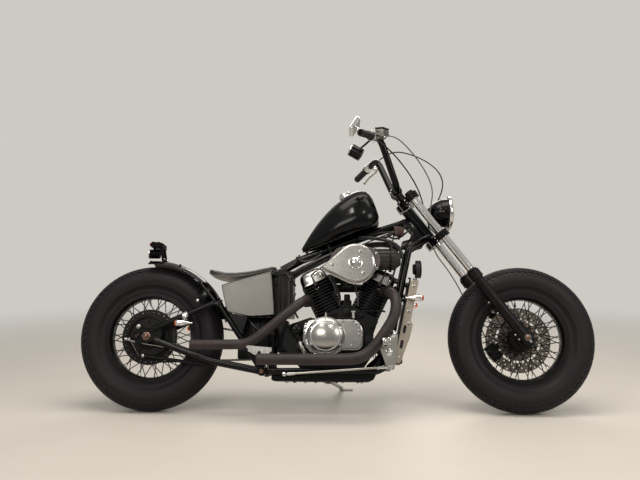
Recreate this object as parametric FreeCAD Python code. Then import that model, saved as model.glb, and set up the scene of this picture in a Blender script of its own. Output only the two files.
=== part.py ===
import FreeCAD, Part
import math
import os
from FreeCAD import Matrix, Placement, Rotation, Vector

# A long-forked V-twin chopper, leaning on its side stand. Every piece is modelled with the machine
# upright: X runs forward from the rear axle, Y to the rider's left and Z up from the ground.
# The finished pieces are then leaned over on the round crowns of the two tyres.

# Whole machine
wheelbase = 1785.0
tyre_radius = 350.0
tyre_section_radius = 64.0
lean_angle = 12.8
moving_gap = 6.0
seat_gap = 0.3
pin_gap = 0.05
overrun = 20.0
facing = 2.0

# Wheels
bead_radius = 203.2
bead_half_width = 40.0
rim_flange_radius = 216.0
rim_flange_thickness = 4.0
rim_inner_radius = 190.0
rim_edge_inner_radius = 199.0
rim_floor_half_width = 20.0
bead_toe_angle = 42.0
spoke_radius = 2.2
spoke_groups = 14
spoke_pair_angle = 6.9
spoke_far_pair_angle = 10.6
spoke_sides = 6
spoke_rim_half_width = 9.0
spoke_bury = 4.0
axle_radius = 10.0

# Front hub and brake disc
front_hub_radius = 34.0
front_hub_half_width = 46.0
front_flange_radius = 56.0
front_spoke_tangent = 48.0
front_flange_thickness = 7.0
front_flange_place = 30.0
disc_radius = 158.0
disc_inner_radius = 110.0
disc_carrier_rim = 99.0
disc_thickness = 5.0
disc_place = 55.0
disc_carrier_radius = 60.0
disc_arms = 10
disc_arm_width = 15.0
disc_hole_groups = 20
disc_hole_radius = 3.6
disc_hole_shares = [(0.0, 0.22), (0.35, 0.5), (0.7, 0.78)]

# Rear hub, drum brake and sprocket
rear_hub_radius = 32.0
rear_hub_left_reach = 44.0
rear_flange_radius = 74.0
rear_spoke_tangent = 64.0
rear_flange_thickness = 8.0
rear_flange_place = 30.0
drum_radius = 106.0
drum_flange_radius = 133.0
drum_flange_setback = 10.0
drum_hole_circle = 122.0
drum_left_reach = 18.0
drum_right_reach = 66.0
sprocket_radius = 102.0
sprocket_thickness = 7.0
sprocket_place = 82.0
sprocket_teeth = 40
sprocket_tooth_height = 5.0
sprocket_carrier_radius = 52.0
sprocket_hole_count = 6
sprocket_hole_radius = 17.0
sprocket_hole_circle = 72.0
brake_panel_radius = 100.0
brake_panel_thickness = 12.0

# Fork and steering head
rake_angle = 37.2
stem_offset = 40.0
fork_half_spacing = 105.0
fork_tube_radius = 19.5
slider_radius = 27.0
slider_top = 395.0
slider_bottom = -38.0
slider_collar_radius = 32.0
slider_collar_length = 42.0
fork_top = 884.0
fork_cap_height = 16.0
lower_clamp_place = 621.0
upper_clamp_place = 858.0
clamp_thickness = 34.0
clamp_end_radius = 33.0
clamp_waist_half_width = 60.0
clamp_nose = 26.0
clamp_tail = 34.0
stem_radius = 12.5
neck_radius = 29.0
bearing_gap = 0.5
fork_tube_bury = 60.0

# Handlebar, in height above the axle along the fork
bar_radius = 17.0
grip_bar_radius = 12.5
bar_clamp_place = 936.0
bar_clamp_setback = 26.0
bar_base_half_width = 84.0
bar_corner_x = 1112.0
bar_corner_y = 168.0
bar_corner_z = 1312.0
grip_outer_x = 1009.0
grip_outer_y = 380.0
grip_outer_z = 1265.0
grip_length = 118.0
grip_radius = 17.5
grip_flange_radius = 22.0
grip_flange_thickness = 5.0
bar_bend_radius = 60.0
riser_half_spacing = 24.0
riser_radius = 19.0
riser_clamp_radius = 27.0
riser_clamp_width = 26.0

# Hand controls
control_clamp_radius = 21.0
control_clamp_width = 30.0
control_gap = 8.0
master_length = 78.0
master_width = 46.0
master_height = 48.0
lever_length = 170.0
lever_radius = 6.0
lever_setback = 48.0
throttle_radius = 24.0
throttle_width = 22.0
clutch_perch_length = 44.0

# Cables and hose, as routes of points in place on the upright machine
brake_hose_radius = 3.0
cable_radius = 3.4
cable_bend_radius = 30.0
brake_hose_route = [
    (1128, -226, 1306), (1180, -205, 1304), (1240, -165, 1272), (1300, -110, 1222), (1350, -68, 1160),
    (1376, -52, 1090), (1366, -48, 1005), (1352, -48, 925), (1403, -48, 855)]
caliper_hose_route = [
    (1384, 50, 816), (1398, 60, 778), (1448, 85, 722), (1498, 100, 647), (1540, 104, 560), (1600, 98, 450),
    (1652, 80, 318)]
clutch_cable_route = [
    (1092, 256, 1294), (1128, 252, 1330), (1168, 232, 1364), (1222, 184, 1366), (1300, 120, 1322),
    (1378, 66, 1262), (1434, 42, 1194), (1446, 44, 1128), (1404, 66, 1036), (1352, 66, 930), (1403, 50, 855)]
throttle_cable_route = [
    (1078, -268, 1284), (1130, -225, 1258), (1192, -150, 1222), (1272, -78, 1142), (1316, -40, 1068),
    (1334, -28, 990), (1348, -26, 920), (1403, -24, 855)]

# Mirror and speedometer
mirror_width = 120.0
mirror_height = 68.0
mirror_depth = 22.0
mirror_place_x = 985.0
mirror_place_y = 262.0
mirror_place_z = 1338.0
mirror_tilt = 35.0
mirror_stem_radius = 5.0
speedo_radius = 31.0
speedo_length = 58.0
speedo_place_x = 992.0
speedo_place_y = 225.0
speedo_place_z = 1222.0
speedo_tilt = 30.0

# Headlamp
headlamp_radius = 74.0
headlamp_length = 112.0
headlamp_face_x = 1468.0
headlamp_z = 976.0
headlamp_rim_width = 14.0
headlamp_rim_radius = 82.0
headlamp_bulge = 16.0
headlamp_bowl_shares = [(1, 0.16), (0.93, 0.45), (0.72, 0.74), (0.38, 0.94), (0, 1)]
headlamp_leg_radius = 9.0

# Frame
neck_top_place = 836.0
neck_bottom_place = 643.0
backbone_radius = 21.0
backbone_front_x = 1255.0
backbone_front_z = 930.0
backbone_middle_x = 1090.0
backbone_middle_z = 876.0
backbone_tank_x = 725.0
backbone_tank_z = 737.0
backbone_rear_x = 628.0
backbone_rear_z = 684.0
down_tube_radius = 16.0
down_tube_neck_half_spacing = 24.0
down_tube_neck_place = 660.0
down_tube_shoulder_x = 1250.0
down_tube_shoulder_y = 76.0
down_tube_shoulder_z = 790.0
cradle_half_spacing = 96.0
cradle_front_x = 1128.0
cradle_front_z = 196.0
cradle_rear_x = 590.0
cradle_rear_z = 190.0
cradle_bend_radius = 60.0
seat_post_top_x = 606.0
seat_post_top_z = 668.0
seat_rail_rear_x = 352.0
seat_rail_rear_z = 560.0
seat_rail_radius = 12.5
seat_rail_half_spacing = 62.0
cross_tube_radius = 14.0
seat_post_half_spacing = 52.0

# Swingarm and axle plates
arm_half_spacing = 112.0
arm_lower_radius = 17.0
arm_upper_radius = 14.0
arm_node_x = 332.0
arm_node_z = 518.0
arm_pivot_x = 552.0
arm_pivot_radius = 22.0
arm_boss_outer_y = 132.0
arm_upper_bend_radius = 45.0
pivot_bolt_radius = 8.0
pivot_bolt_head_radius = 14.0
pivot_bolt_head_height = 8.0
pivot_plate_inner_y = 70.0
pivot_plate_outer_y = 92.0
pivot_plate_radius = 17.0
arm_cross_share = 0.62
arm_cross_radius = 11.5
arm_gusset_thickness = 8.0
arm_gusset_shares = [(0.06, 0.07), (0.24, 0.165), (0.66, 0.235), (0.58, 0.42), (0.44, 0.45)]
arm_knee_x = 300.0
arm_knee_z = 238.0
arm_bend_radius = 160.0
axle_plate_thickness = 10.0
axle_plate_length = 120.0
axle_plate_height = 70.0
axle_nut_radius = 16.0
axle_nut_height = 14.0
spacer_radius = 16.0
spacer_gap = 1.0

# Engine
crank_x = 952.0
crank_z = 300.0
cylinder_angle = 26.0
case_half_width = 106.0
barrel_base = 186.0
barrel_top = 352.0
barrel_radius = 56.0
fin_count = 12
fin_thickness = 4.5
fin_half_length = 72.0
fin_half_width = 74.0
fin_corner_radius = 26.0
rocker_height = 72.0
rocker_half_length = 66.0
rocker_half_width = 58.0
rocker_corner_radius = 30.0
rocker_flange_height = 9.0
rocker_body_share = 0.76
rocker_cap_half_length = 42.0
rocker_cap_half_width = 36.0
rocker_cap_corner_radius = 18.0
case_outline_shares = [
    ("rear", "sole"), ("front", "sole"), (0.34, -0.10), (0.36, 0.20), ("front", 1), ("front", -1),
    ("rear", 1), ("rear", -1), (-0.52, 0.42), (-0.86, 0.30), (-0.90, 0.02)]
case_reach = 340.0
case_corner_radius = 14.0
case_sole_rear_share = -0.66
case_sole_front_share = 0.22
case_chain_pocket_x = 742.0
case_chain_pocket_y = 64.0
right_cover_depth = 42.0
right_cover_half_length = 142.0
right_cover_half_height = 75.0
right_cover_x = 878.0
right_cover_z = 361.0
right_cover_outline_shares = [
    (-0.95, 0.74), (0.07, 1.00), (0.77, 1.00), (1.00, 0.62), (1.00, 0.00), (0.72, -0.84),
    (-0.53, -1.00), (-1.00, 0.22)]
right_cover_corner_radius = 16.0
right_cover_edge_radius = 8.0
clutch_x = 848.0
clutch_z = 352.0
clutch_radius = 84.0
clutch_rim_depth = 14.0
clutch_dome_depth = 26.0
pump_x = 706.0
pump_z = 384.0
pump_radius = 30.0
pump_neck_share = 0.7
pump_stand_off = 22.0
pump_rim_depth = 12.0
pump_dome_depth = 14.0
pump_elbow_radius = 10.0
pump_elbow_reach = 44.0
pump_elbow_drop = 54.0
left_cover_x = 952.0
left_cover_z = 320.0
left_cover_radius = 88.0
left_cover_depth = 46.0

# Intake
filter_x = 989.0
filter_z = 688.0
filter_radius = 92.0
filter_tip_x = 846.0
filter_tip_z = 668.0
filter_tip_radius = 12.0
filter_depth = 52.0
filter_face_y = 214.0
filter_boss_radius = 26.0
filter_boss_height = 9.0
back_plate_depth = 16.0
back_plate_front_x = 1040.0
back_plate_rear_x = 936.0
back_plate_radius = 66.0
back_plate_z = 708.0
intake_radius = 30.0
manifold_place = 330.0
manifold_radius = 20.0
canister_radius = 52.0
canister_front_x = 1206.0
canister_rear_x = 1064.0
canister_z = 724.0
canister_rib_count = 16
canister_rib_depth = 4.0

# Exhaust
rear_pipe_radius = 23.0
front_pipe_radius = 26.0
pipe_wall = 2.0
rear_pipe_shares = [
    (-0.535, -0.57, 0.647), (-0.603, -1.43, 0.647), (-1.029, -1.81, 0.294), (-1.506, -1.89, 0.024),
    (-2.129, -1.89, 0.018)]
front_pipe_shares = [
    (0.506, -0.57, 0.794), (0.629, -1.42, 0.721), (0.612, -1.94, 0.441), (0.229, -2.04, -0.112),
    (-0.065, -2.06, -0.171), (-1.221, -2.06, -0.174)]
pipe_hanger_thickness = 5.0
pipe_hanger_shares = [(-1.36, 0.95), (-1.36, 0.62), (-1.25, 0.3), (-1.02, 0.2), (-1.02, 0.8)]

# Tank, seat and side covers
tank_tail_x = 726.0
tank_tail_z = 772.0
tank_angle = 19.3
tank_length = 420.0
tank_height = 206.0
tank_half_width = 112.0
tank_outline_shares = [(0, 0), (0.82, 0.02), (1, 0.2), (0.97, 0.5), (0.72, 0.85), (0, 1)]
tank_section_shares = [
    (0.015, 0.02, 0.10, 0.16), (0.17, 0.00, 0.37, 0.46), (0.41, 0.00, 0.70, 0.80),
    (0.69, 0.00, 0.95, 1.00), (0.87, 0.00, 1.00, 0.96), (0.96, 0.08, 0.93, 0.78),
    (0.995, 0.28, 0.72, 0.42)]
seat_half_width = 105.0
seat_nose_half_width = 58.0
seat_thickness = 26.0
seat_rear_x = 272.0
seat_front_x = 612.0
seat_rear_z = 662.0
seat_low_x = 440.0
seat_low_z = 640.0
seat_front_z = 676.0
side_cover_depth = 62.0
side_cover_face_y = 152.0
side_cover_rear_top_x = 355.0
side_cover_rear_top_z = 590.0
side_cover_front_top_x = 588.0
side_cover_front_top_z = 655.0
side_cover_front_bottom_x = 606.0
side_cover_front_bottom_z = 452.0
side_cover_low_x = 488.0
side_cover_low_z = 446.0
side_cover_rear_bottom_x = 386.0
side_cover_rear_bottom_z = 468.0
cover_stud_radius = 8.0
cover_stud_places = [(562, 606), (562, 496)]
battery_front_x = 690.0
battery_top_z = 668.0
battery_bottom_z = 452.0
battery_half_width = 80.0
battery_step_x = 614.0
battery_step_z = 632.0

# Rear mudguard and lamps
guard_radius = 380.0
guard_thickness = 3.0
guard_half_width = 78.0
guard_crown = 26.0
guard_front_angle = 14.0
guard_rear_angle = 93.0
guard_strut_angle = 48.0
guard_strut_radius = 8.0
tail_lamp_radius = 23.0
tail_lamp_half_width = 42.0
tail_lamp_x = 38.0
tail_lamp_z = 790.0
tail_box_length = 66.0
tail_box_height = 34.0
tail_round_share = 0.8
tail_leg_share = 0.7
tail_leg_width = 16.0
tail_leg_thickness = 5.0
indicator_radius = 15.0
indicator_length = 66.0
rear_indicator_x = 214.0
rear_indicator_y = 150.0
rear_indicator_z = 410.0
front_indicator_x = 1232.0
front_indicator_y = 150.0
front_indicator_z = 532.0
indicator_stalk_radius = 6.0

# Radiator and horn
radiator_top_z = 618.0
radiator_bottom_z = 232.0
radiator_top_x = 1268.0
radiator_bottom_x = 1184.0
radiator_depth = 34.0
radiator_half_width = 118.0
radiator_cover_thickness = 12.0
radiator_cover_shares = [
    (-0.5, 0), (0.35, 0), (0.95, 0.30), (1.02, 0.46), (0.62, 0.50), (0.62, 1), (-0.5, 1)]
radiator_slot_shares = [(0.22, 0.07), (0.40, 0.06)]
radiator_slot_radius = 7.0
radiator_mount_radius = 9.0
radiator_mount_shares = [0.2, 0.82]
horn_radius = 44.0
horn_depth = 24.0
horn_x = 1300.0
horn_z = 692.0

# Footrests, pedals and linkage
foot_plate_y = 132.0
foot_plate_thickness = 12.0
foot_plate_half_width = 42.0
foot_plate_half_height = 86.0
foot_plate_outline_shares = [
    (-0.57, 0.21), (0.71, 0.60), (1.48, 0.47), (1.24, -0.70), (1.00, -1.40), (0.24, -1.40), (-0.48, -0.35)]
foot_mount_z = 300.0
peg_x = 1124.0
peg_z = 320.0
peg_radius = 15.0
peg_end_y = 292.0
pedal_pivot_x = 1148.0
pedal_pivot_z = 212.0
rod_radius = 5.0
rod_y = 150.0
rod_rear_x = 660.0
rod_rear_z = 176.0
pan_half_width = 74.0
pan_top_z = 188.0
pan_bottom_z = 143.0
pan_front_x = 1092.0
pan_sole_front_x = 1034.0
pan_sole_rear_x = 812.0
pan_rear_x = 592.0
torque_rod_front_x = 330.0
torque_rod_front_z = 214.0

# Chain
chain_inner_gap = 6.0
chain_height = 13.0
chain_width = 15.0
chain_links = 56
chain_waist = 2.5
drive_sprocket_x = 668.0
drive_sprocket_z = 300.0
drive_sprocket_radius = 38.0

# Side stand
stand_pivot_x = 858.0
stand_pivot_y = 101.0
stand_pivot_z = 154.0
stand_foot_x = 922.0
stand_foot_reach = 455.0
stand_leg_radius = 10.0
stand_foot_length = 62.0
stand_foot_width = 34.0
stand_foot_thickness = 8.0
stand_pin_radius = 8.0
stand_head_radius = 13.0
stand_head_thickness = 6.0
stand_boss_radius = 14.0
stand_boss_height = 34.0


# Basic places and directions
def unit(vector):
    result = Vector(vector)
    result.normalize()
    return result


def up_fork():
    angle = math.radians(rake_angle)
    return Vector(-math.sin(angle), 0, math.cos(angle))


def behind_fork():
    angle = math.radians(rake_angle)
    return Vector(-math.cos(angle), 0, -math.sin(angle))


def front_axle():
    return Vector(wheelbase, 0, tyre_radius)


def rear_axle():
    return Vector(0, 0, tyre_radius)


def on_fork(height, side=0, setback=0):
    return front_axle() + up_fork() * height + Vector(0, side, 0) + behind_fork() * setback


# The lean, and the shift that puts the origin under the middle of the whole machine
def lean_only():
    turn = Placement(Vector(), Rotation(Vector(1, 0, 0), -lean_angle))
    crown = Vector(0, 0, tyre_section_radius)
    return Placement(crown, Rotation()).multiply(turn).multiply(Placement(crown * -1, Rotation()))


def lean():
    # The widest points are the clutch lever's tip on the left and the peg's end on the right
    leaned = lean_only()
    outer, inward = grip_line(1)
    left = leaned.multVec(lever_tip(outer, inward, clutch_clamp_along())).y
    right = leaned.multVec(Vector(peg_x, -peg_end_y, peg_z)).y
    return Placement(Vector(-wheelbase / 2, -(left + right) / 2, 0), Rotation()).multiply(leaned)


# Basic solids
def rod(start, end, radius):
    axis = end - start
    return Part.makeCylinder(radius, axis.Length, start, axis)


def cone(start, end, start_radius, end_radius):
    axis = end - start
    return Part.makeCone(start_radius, end_radius, axis.Length, start, axis)


def prism(start, end, radius, sides):
    axis = unit(end - start)
    across = axis.cross(Vector(0, 1, 0))
    if across.Length < math.sin(math.radians(1)):
        across = axis.cross(Vector(0, 0, 1))
    across = unit(across)
    other = unit(axis.cross(across))
    corners = []
    for index in range(sides + 1):
        angle = 2 * math.pi * index / sides
        corners.append(start + across * (radius * math.cos(angle)) + other * (radius * math.sin(angle)))
    return Part.Face(Part.makePolygon(corners)).extrude(end - start)


def plate(outline, low_y, high_y):
    # A flat outline of (x, z) pairs, drawn from low_y to high_y
    corners = [Vector(x, low_y, z) for x, z in outline]
    corners.append(corners[0])
    return Part.Face(Part.makePolygon(corners)).extrude(Vector(0, high_y - low_y, 0))


def block(low, high):
    size = high - low
    return Part.makeBox(size.x, size.y, size.z, low)


def turned(outline, centre=None):
    # An outline of (radius, y) pairs, turned about the wheel axis through the centre
    corners = [Vector(0, y, radius) for radius, y in outline]
    corners.append(corners[0])
    solid = Part.Face(Part.makePolygon(corners)).revolve(Vector(), Vector(0, 1, 0), 360)
    if centre is not None:
        solid.translate(centre)
    return solid


def bent_rod(points, radius, bend_radius):
    # Straight runs joined by tangent arcs, as a bender leaves them
    edges = []
    last = points[0]
    for index in range(1, len(points) - 1):
        corner = points[index]
        before = unit(points[index - 1] - corner)
        after = unit(points[index + 1] - corner)
        half = before.getAngle(after) / 2
        setback = bend_radius / math.tan(half)
        first = corner + before * setback
        second = corner + after * setback
        middle = corner + unit(before + after) * (bend_radius / math.sin(half) - bend_radius)
        edges.append(Part.LineSegment(last, first).toShape())
        edges.append(Part.Arc(first, middle, second).toShape())
        last = second
    edges.append(Part.LineSegment(last, points[-1]).toShape())
    path = Part.Wire(edges)
    circle = Part.Wire(Part.makeCircle(radius, points[0], points[1] - points[0]))
    solid = path.makePipeShell([circle], True, False)
    expected = math.pi * radius ** 2 * path.Length
    if abs(solid.Volume / expected - 1) > 0.01:
        print("bent rod volume is off by", round(solid.Volume / expected - 1, 3))
    return solid


def capsule_plate(first, second, first_radius, second_radius, low_y, high_y):
    # A plate with two round ends, of possibly different size, joined by tangents
    span = second - first
    distance = math.hypot(span.x, span.z)
    heading = math.atan2(span.z, span.x)
    spread = math.acos((first_radius - second_radius) / distance)
    points = []
    for centre, radius, start, stop in (
            (first, first_radius, heading + spread, heading + 2 * math.pi - spread),
            (second, second_radius, heading - spread, heading + spread)):
        for share in (0, 0.5, 1):
            angle = start + (stop - start) * share
            points.append(Vector(centre.x + radius * math.cos(angle), low_y,
                                 centre.z + radius * math.sin(angle)))
    edges = [
        Part.Arc(points[0], points[1], points[2]).toShape(),
        Part.LineSegment(points[2], points[3]).toShape(),
        Part.Arc(points[3], points[4], points[5]).toShape(),
        Part.LineSegment(points[5], points[0]).toShape()]
    return Part.Face(Part.Wire(edges)).extrude(Vector(0, high_y - low_y, 0))


def mirrored(shape):
    return shape.mirror(Vector(), Vector(0, 1, 0))


def both_sides(shape):
    return [shape, mirrored(shape)]


def fused(shapes):
    solid = shapes[0].multiFuse(shapes[1:]) if len(shapes) > 1 else shapes[0]
    return solid.removeSplitter()


def loose(shapes):
    solids = []
    for shape in shapes:
        solids.extend(shape.Solids)
    return Part.makeCompound(solids)


def at_place(shape, direction, place):
    # A shape drawn along +Z, turned to a direction and moved to a place
    turn = Rotation(Vector(0, 0, 1), direction)
    shape = shape.copy()
    shape.Placement = Placement(place, turn)
    return shape


# Wheels
def tyre(centre):
    section_centre = tyre_radius - tyre_section_radius
    toe = math.radians(bead_toe_angle)
    side_y = tyre_section_radius * math.sin(toe)
    side_radius = section_centre - tyre_section_radius * math.cos(toe)
    bead_y = bead_half_width - seat_gap
    inner = bead_radius + seat_gap
    hook = rim_flange_radius + seat_gap
    crown = Vector(0, 0, tyre_radius)
    edges = [
        Part.LineSegment(Vector(0, bead_y, inner), Vector(0, -bead_y, inner)).toShape(),
        Part.LineSegment(Vector(0, -bead_y, inner), Vector(0, -bead_y, hook)).toShape(),
        Part.LineSegment(Vector(0, -bead_y, hook), Vector(0, -side_y, side_radius)).toShape(),
        Part.Arc(Vector(0, -side_y, side_radius), crown, Vector(0, side_y, side_radius)).toShape(),
        Part.LineSegment(Vector(0, side_y, side_radius), Vector(0, bead_y, hook)).toShape(),
        Part.LineSegment(Vector(0, bead_y, hook), Vector(0, bead_y, inner)).toShape()]
    solid = Part.Face(Part.Wire(edges)).revolve(Vector(), Vector(0, 1, 0), 360)
    solid.translate(centre)
    return solid


def rim_ring():
    outer_y = bead_half_width + rim_flange_thickness
    return turned([
        (rim_flange_radius, outer_y), (rim_flange_radius, bead_half_width),
        (bead_radius, bead_half_width), (bead_radius, -bead_half_width),
        (rim_flange_radius, -bead_half_width), (rim_flange_radius, -outer_y),
        (rim_edge_inner_radius, -outer_y), (rim_inner_radius, -rim_floor_half_width),
        (rim_inner_radius, rim_floor_half_width), (rim_edge_inner_radius, outer_y)])


def around(radius, angle, y):
    return Vector(radius * math.cos(angle), y, radius * math.sin(angle))


def spoke_set(hole_circle, tangent_radius, flange_y, rim_y, pair_angle, turn):
    # Pairs of spokes that lean towards each other, every one at the same distance from the axle
    spokes = []
    rim_circle = rim_inner_radius + spoke_bury
    sweep = math.acos(tangent_radius / rim_circle) - math.acos(tangent_radius / hole_circle)
    for index in range(spoke_groups):
        for way in (-1, 1):
            rim_angle = turn + 2 * math.pi * index / spoke_groups + way * math.radians(pair_angle)
            hub_end = around(hole_circle, rim_angle - way * sweep, flange_y)
            rim_end = around(rim_circle, rim_angle, rim_y)
            spokes.append(prism(hub_end, rim_end, spoke_radius, spoke_sides))
    return spokes


def front_wire_wheel():
    flanges = []
    for side in (-1, 1):
        middle = side * front_flange_place
        flanges.append(rod(Vector(0, middle - front_flange_thickness / 2, 0),
                           Vector(0, middle + front_flange_thickness / 2, 0), front_flange_radius))
    barrel = rod(Vector(0, -front_hub_half_width, 0), Vector(0, front_hub_half_width, 0), front_hub_radius)
    hole_circle = front_flange_radius - spoke_bury
    half_step = math.pi / spoke_groups
    spokes = spoke_set(hole_circle, front_spoke_tangent, -front_flange_place, -spoke_rim_half_width,
                       spoke_pair_angle, 0)
    spokes += spoke_set(hole_circle, front_spoke_tangent, front_flange_place, spoke_rim_half_width,
                        spoke_far_pair_angle, half_step)
    wheel = fused([rim_ring(), barrel] + flanges + spokes)
    bore = rod(Vector(0, -front_hub_half_width - overrun, 0), Vector(0, front_hub_half_width + overrun, 0),
               axle_radius + pin_gap)
    wheel = wheel.cut(bore)
    wheel.translate(front_axle())
    return wheel


def disc_holes(low, high):
    # Slanting rows of drilled holes through the friction ring
    holes = []
    for index in range(disc_hole_groups):
        for turn_share, out_share in disc_hole_shares:
            angle = 2 * math.pi * (index + turn_share) / disc_hole_groups
            centre = around(disc_inner_radius + (disc_radius - disc_inner_radius) * out_share, angle, low)
            holes.append(rod(centre, centre + Vector(0, high - low, 0), disc_hole_radius))
    return loose(holes)


def front_disc():
    low = disc_place
    high = disc_place + disc_thickness
    ring = rod(Vector(0, low, 0), Vector(0, high, 0), disc_radius)
    ring = ring.cut(rod(Vector(0, low - overrun, 0), Vector(0, high + overrun, 0), disc_inner_radius))
    ring = ring.cut(disc_holes(low - overrun, high + overrun))
    tabs = []
    for index in range(disc_arms):
        tab = block(Vector(disc_carrier_rim - disc_arm_width, low, -disc_arm_width / 2),
                    Vector(disc_inner_radius + disc_arm_width / 3, high, disc_arm_width / 2))
        tab.rotate(Vector(), Vector(0, 1, 0), 360 / disc_arms * index)
        tabs.append(tab)
    dish = rod(Vector(0, low, 0), Vector(0, high, 0), disc_carrier_rim)
    boss = rod(Vector(0, front_hub_half_width, 0), Vector(0, high, 0), disc_carrier_radius)
    bore = rod(Vector(0, front_hub_half_width - overrun, 0), Vector(0, high + overrun, 0),
               axle_radius + pin_gap)
    solid = fused([ring, dish, boss] + tabs).cut(bore)
    solid.translate(front_axle())
    return solid


def rear_wire_wheel():
    left_flange = rod(Vector(0, rear_flange_place - rear_flange_thickness / 2, 0),
                      Vector(0, rear_flange_place + rear_flange_thickness / 2, 0), rear_flange_radius)
    barrel = rod(Vector(0, -drum_left_reach, 0), Vector(0, rear_hub_left_reach, 0), rear_hub_radius)
    drum = rod(Vector(0, -drum_right_reach, 0), Vector(0, -drum_left_reach, 0), drum_radius)
    flange_y = -drum_right_reach + drum_flange_setback
    flange = rod(Vector(0, flange_y, 0), Vector(0, flange_y + rear_flange_thickness, 0), drum_flange_radius)
    cavity = rod(Vector(0, -drum_right_reach - overrun, 0),
                 Vector(0, -drum_right_reach + brake_panel_thickness + moving_gap / 2, 0),
                 brake_panel_radius + facing)
    half_step = math.pi / spoke_groups
    spokes = spoke_set(drum_hole_circle, rear_spoke_tangent, flange_y + rear_flange_thickness / 2,
                       -spoke_rim_half_width, spoke_pair_angle, 0)
    spokes += spoke_set(rear_flange_radius - spoke_bury, rear_spoke_tangent, rear_flange_place,
                        spoke_rim_half_width, spoke_far_pair_angle, half_step)
    wheel = fused([rim_ring(), left_flange, barrel, drum, flange] + spokes)
    bore = rod(Vector(0, -drum_right_reach - overrun, 0), Vector(0, rear_hub_left_reach + overrun, 0),
               axle_radius + pin_gap)
    wheel = wheel.cut(cavity).cut(bore)
    wheel.translate(rear_axle())
    return wheel


def sprocket_outline(radius, teeth, tooth_height):
    points = []
    for index in range(teeth):
        for share, level in ((0.0, 0), (0.3, tooth_height), (0.5, tooth_height), (0.8, 0)):
            angle = 2 * math.pi * (index + share) / teeth
            points.append(((radius + level) * math.cos(angle), (radius + level) * math.sin(angle)))
    return points


def rear_sprocket():
    low = sprocket_place - sprocket_thickness / 2
    high = sprocket_place + sprocket_thickness / 2
    solid = plate(sprocket_outline(sprocket_radius - sprocket_tooth_height, sprocket_teeth,
                                   sprocket_tooth_height), low, high)
    for index in range(sprocket_hole_count):
        centre = around(sprocket_hole_circle, 2 * math.pi * index / sprocket_hole_count, 0)
        solid = solid.cut(rod(centre + Vector(0, low - overrun, 0), centre + Vector(0, high + overrun, 0),
                              sprocket_hole_radius))
    carrier = rod(Vector(0, rear_hub_left_reach, 0), Vector(0, low, 0), sprocket_carrier_radius)
    bore = rod(Vector(0, rear_hub_left_reach - overrun, 0), Vector(0, high + overrun, 0),
               axle_radius + pin_gap)
    solid = fused([solid, carrier]).cut(bore)
    solid.translate(rear_axle())
    return solid


# Fork and steering
def fork_tubes():
    tubes = []
    for side in (-fork_half_spacing, fork_half_spacing):
        low = on_fork(slider_top - fork_tube_bury, side)
        high = on_fork(fork_top - fork_cap_height, side)
        tubes.append(rod(low, high, fork_tube_radius))
    return loose(tubes)


def fork_sliders():
    sliders = []
    for side in (-fork_half_spacing, fork_half_spacing):
        body = rod(on_fork(slider_bottom, side), on_fork(slider_top, side), slider_radius)
        collar = rod(on_fork(slider_top - slider_collar_length, side), on_fork(slider_top, side),
                     slider_collar_radius)
        bore = rod(on_fork(slider_top - fork_tube_bury, side), on_fork(slider_top + overrun, side),
                   fork_tube_radius)
        axle = rod(Vector(wheelbase, side - slider_radius - overrun, tyre_radius),
                   Vector(wheelbase, side + slider_radius + overrun, tyre_radius), axle_radius)
        sliders.append(fused([body, collar]).cut(bore).cut(axle))
    return loose(sliders)


def clamp_plate(height):
    # One fork clamp: two round ends and a waist that reaches back round the steering stem
    low = height - clamp_thickness / 2
    high = height + clamp_thickness / 2
    parts = []
    for side in (-fork_half_spacing, fork_half_spacing):
        parts.append(rod(on_fork(low, side), on_fork(high, side), clamp_end_radius))
    parts.append(rod(on_fork(low, 0, stem_offset), on_fork(high, 0, stem_offset), clamp_tail))
    corners = [on_fork(low, fork_half_spacing, -clamp_nose), on_fork(low, -fork_half_spacing, -clamp_nose),
               on_fork(low, -fork_half_spacing, clamp_nose),
               on_fork(low, -clamp_waist_half_width, stem_offset + clamp_nose),
               on_fork(low, clamp_waist_half_width, stem_offset + clamp_nose),
               on_fork(low, fork_half_spacing, clamp_nose)]
    corners.append(corners[0])
    web = Part.Face(Part.makePolygon(corners)).extrude(up_fork() * clamp_thickness)
    solid = fused(parts + [web])
    for side in (-fork_half_spacing, fork_half_spacing):
        solid = solid.cut(rod(on_fork(low - overrun, side), on_fork(high + overrun, side), fork_tube_radius))
    return solid


def lower_clamp():
    stem = rod(on_fork(lower_clamp_place, 0, stem_offset),
               on_fork(upper_clamp_place - clamp_thickness / 2, 0, stem_offset), stem_radius)
    return fused([clamp_plate(lower_clamp_place), stem])


def upper_clamp():
    caps = []
    for side in (-fork_half_spacing, fork_half_spacing):
        caps.append(rod(on_fork(fork_top - fork_cap_height, side), on_fork(fork_top, side),
                        fork_tube_radius + facing))
    return fused([clamp_plate(upper_clamp_place)] + caps)


def bar_clamp_centre(side=0):
    return on_fork(bar_clamp_place, side, bar_clamp_setback)


def grip_line(side):
    outer = Vector(grip_outer_x, side * grip_outer_y, grip_outer_z)
    corner = Vector(bar_corner_x, side * bar_corner_y, bar_corner_z)
    return outer, unit(corner - outer)


def bar_points():
    outer, inward = grip_line(-1)
    corner = Vector(bar_corner_x, -bar_corner_y, bar_corner_z)
    base = bar_clamp_centre(-bar_base_half_width)
    right = [outer + inward * grip_length, corner, base]
    left = [Vector(point.x, -point.y, point.z) for point in reversed(right)]
    return right + left


def handlebar():
    bar = bent_rod(bar_points(), bar_radius, bar_bend_radius)
    ends = []
    for side in (-1, 1):
        outer, inward = grip_line(side)
        ends.append(rod(outer + inward * facing, outer + inward * (grip_length + facing), grip_bar_radius))
    return fused([bar] + ends)


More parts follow.
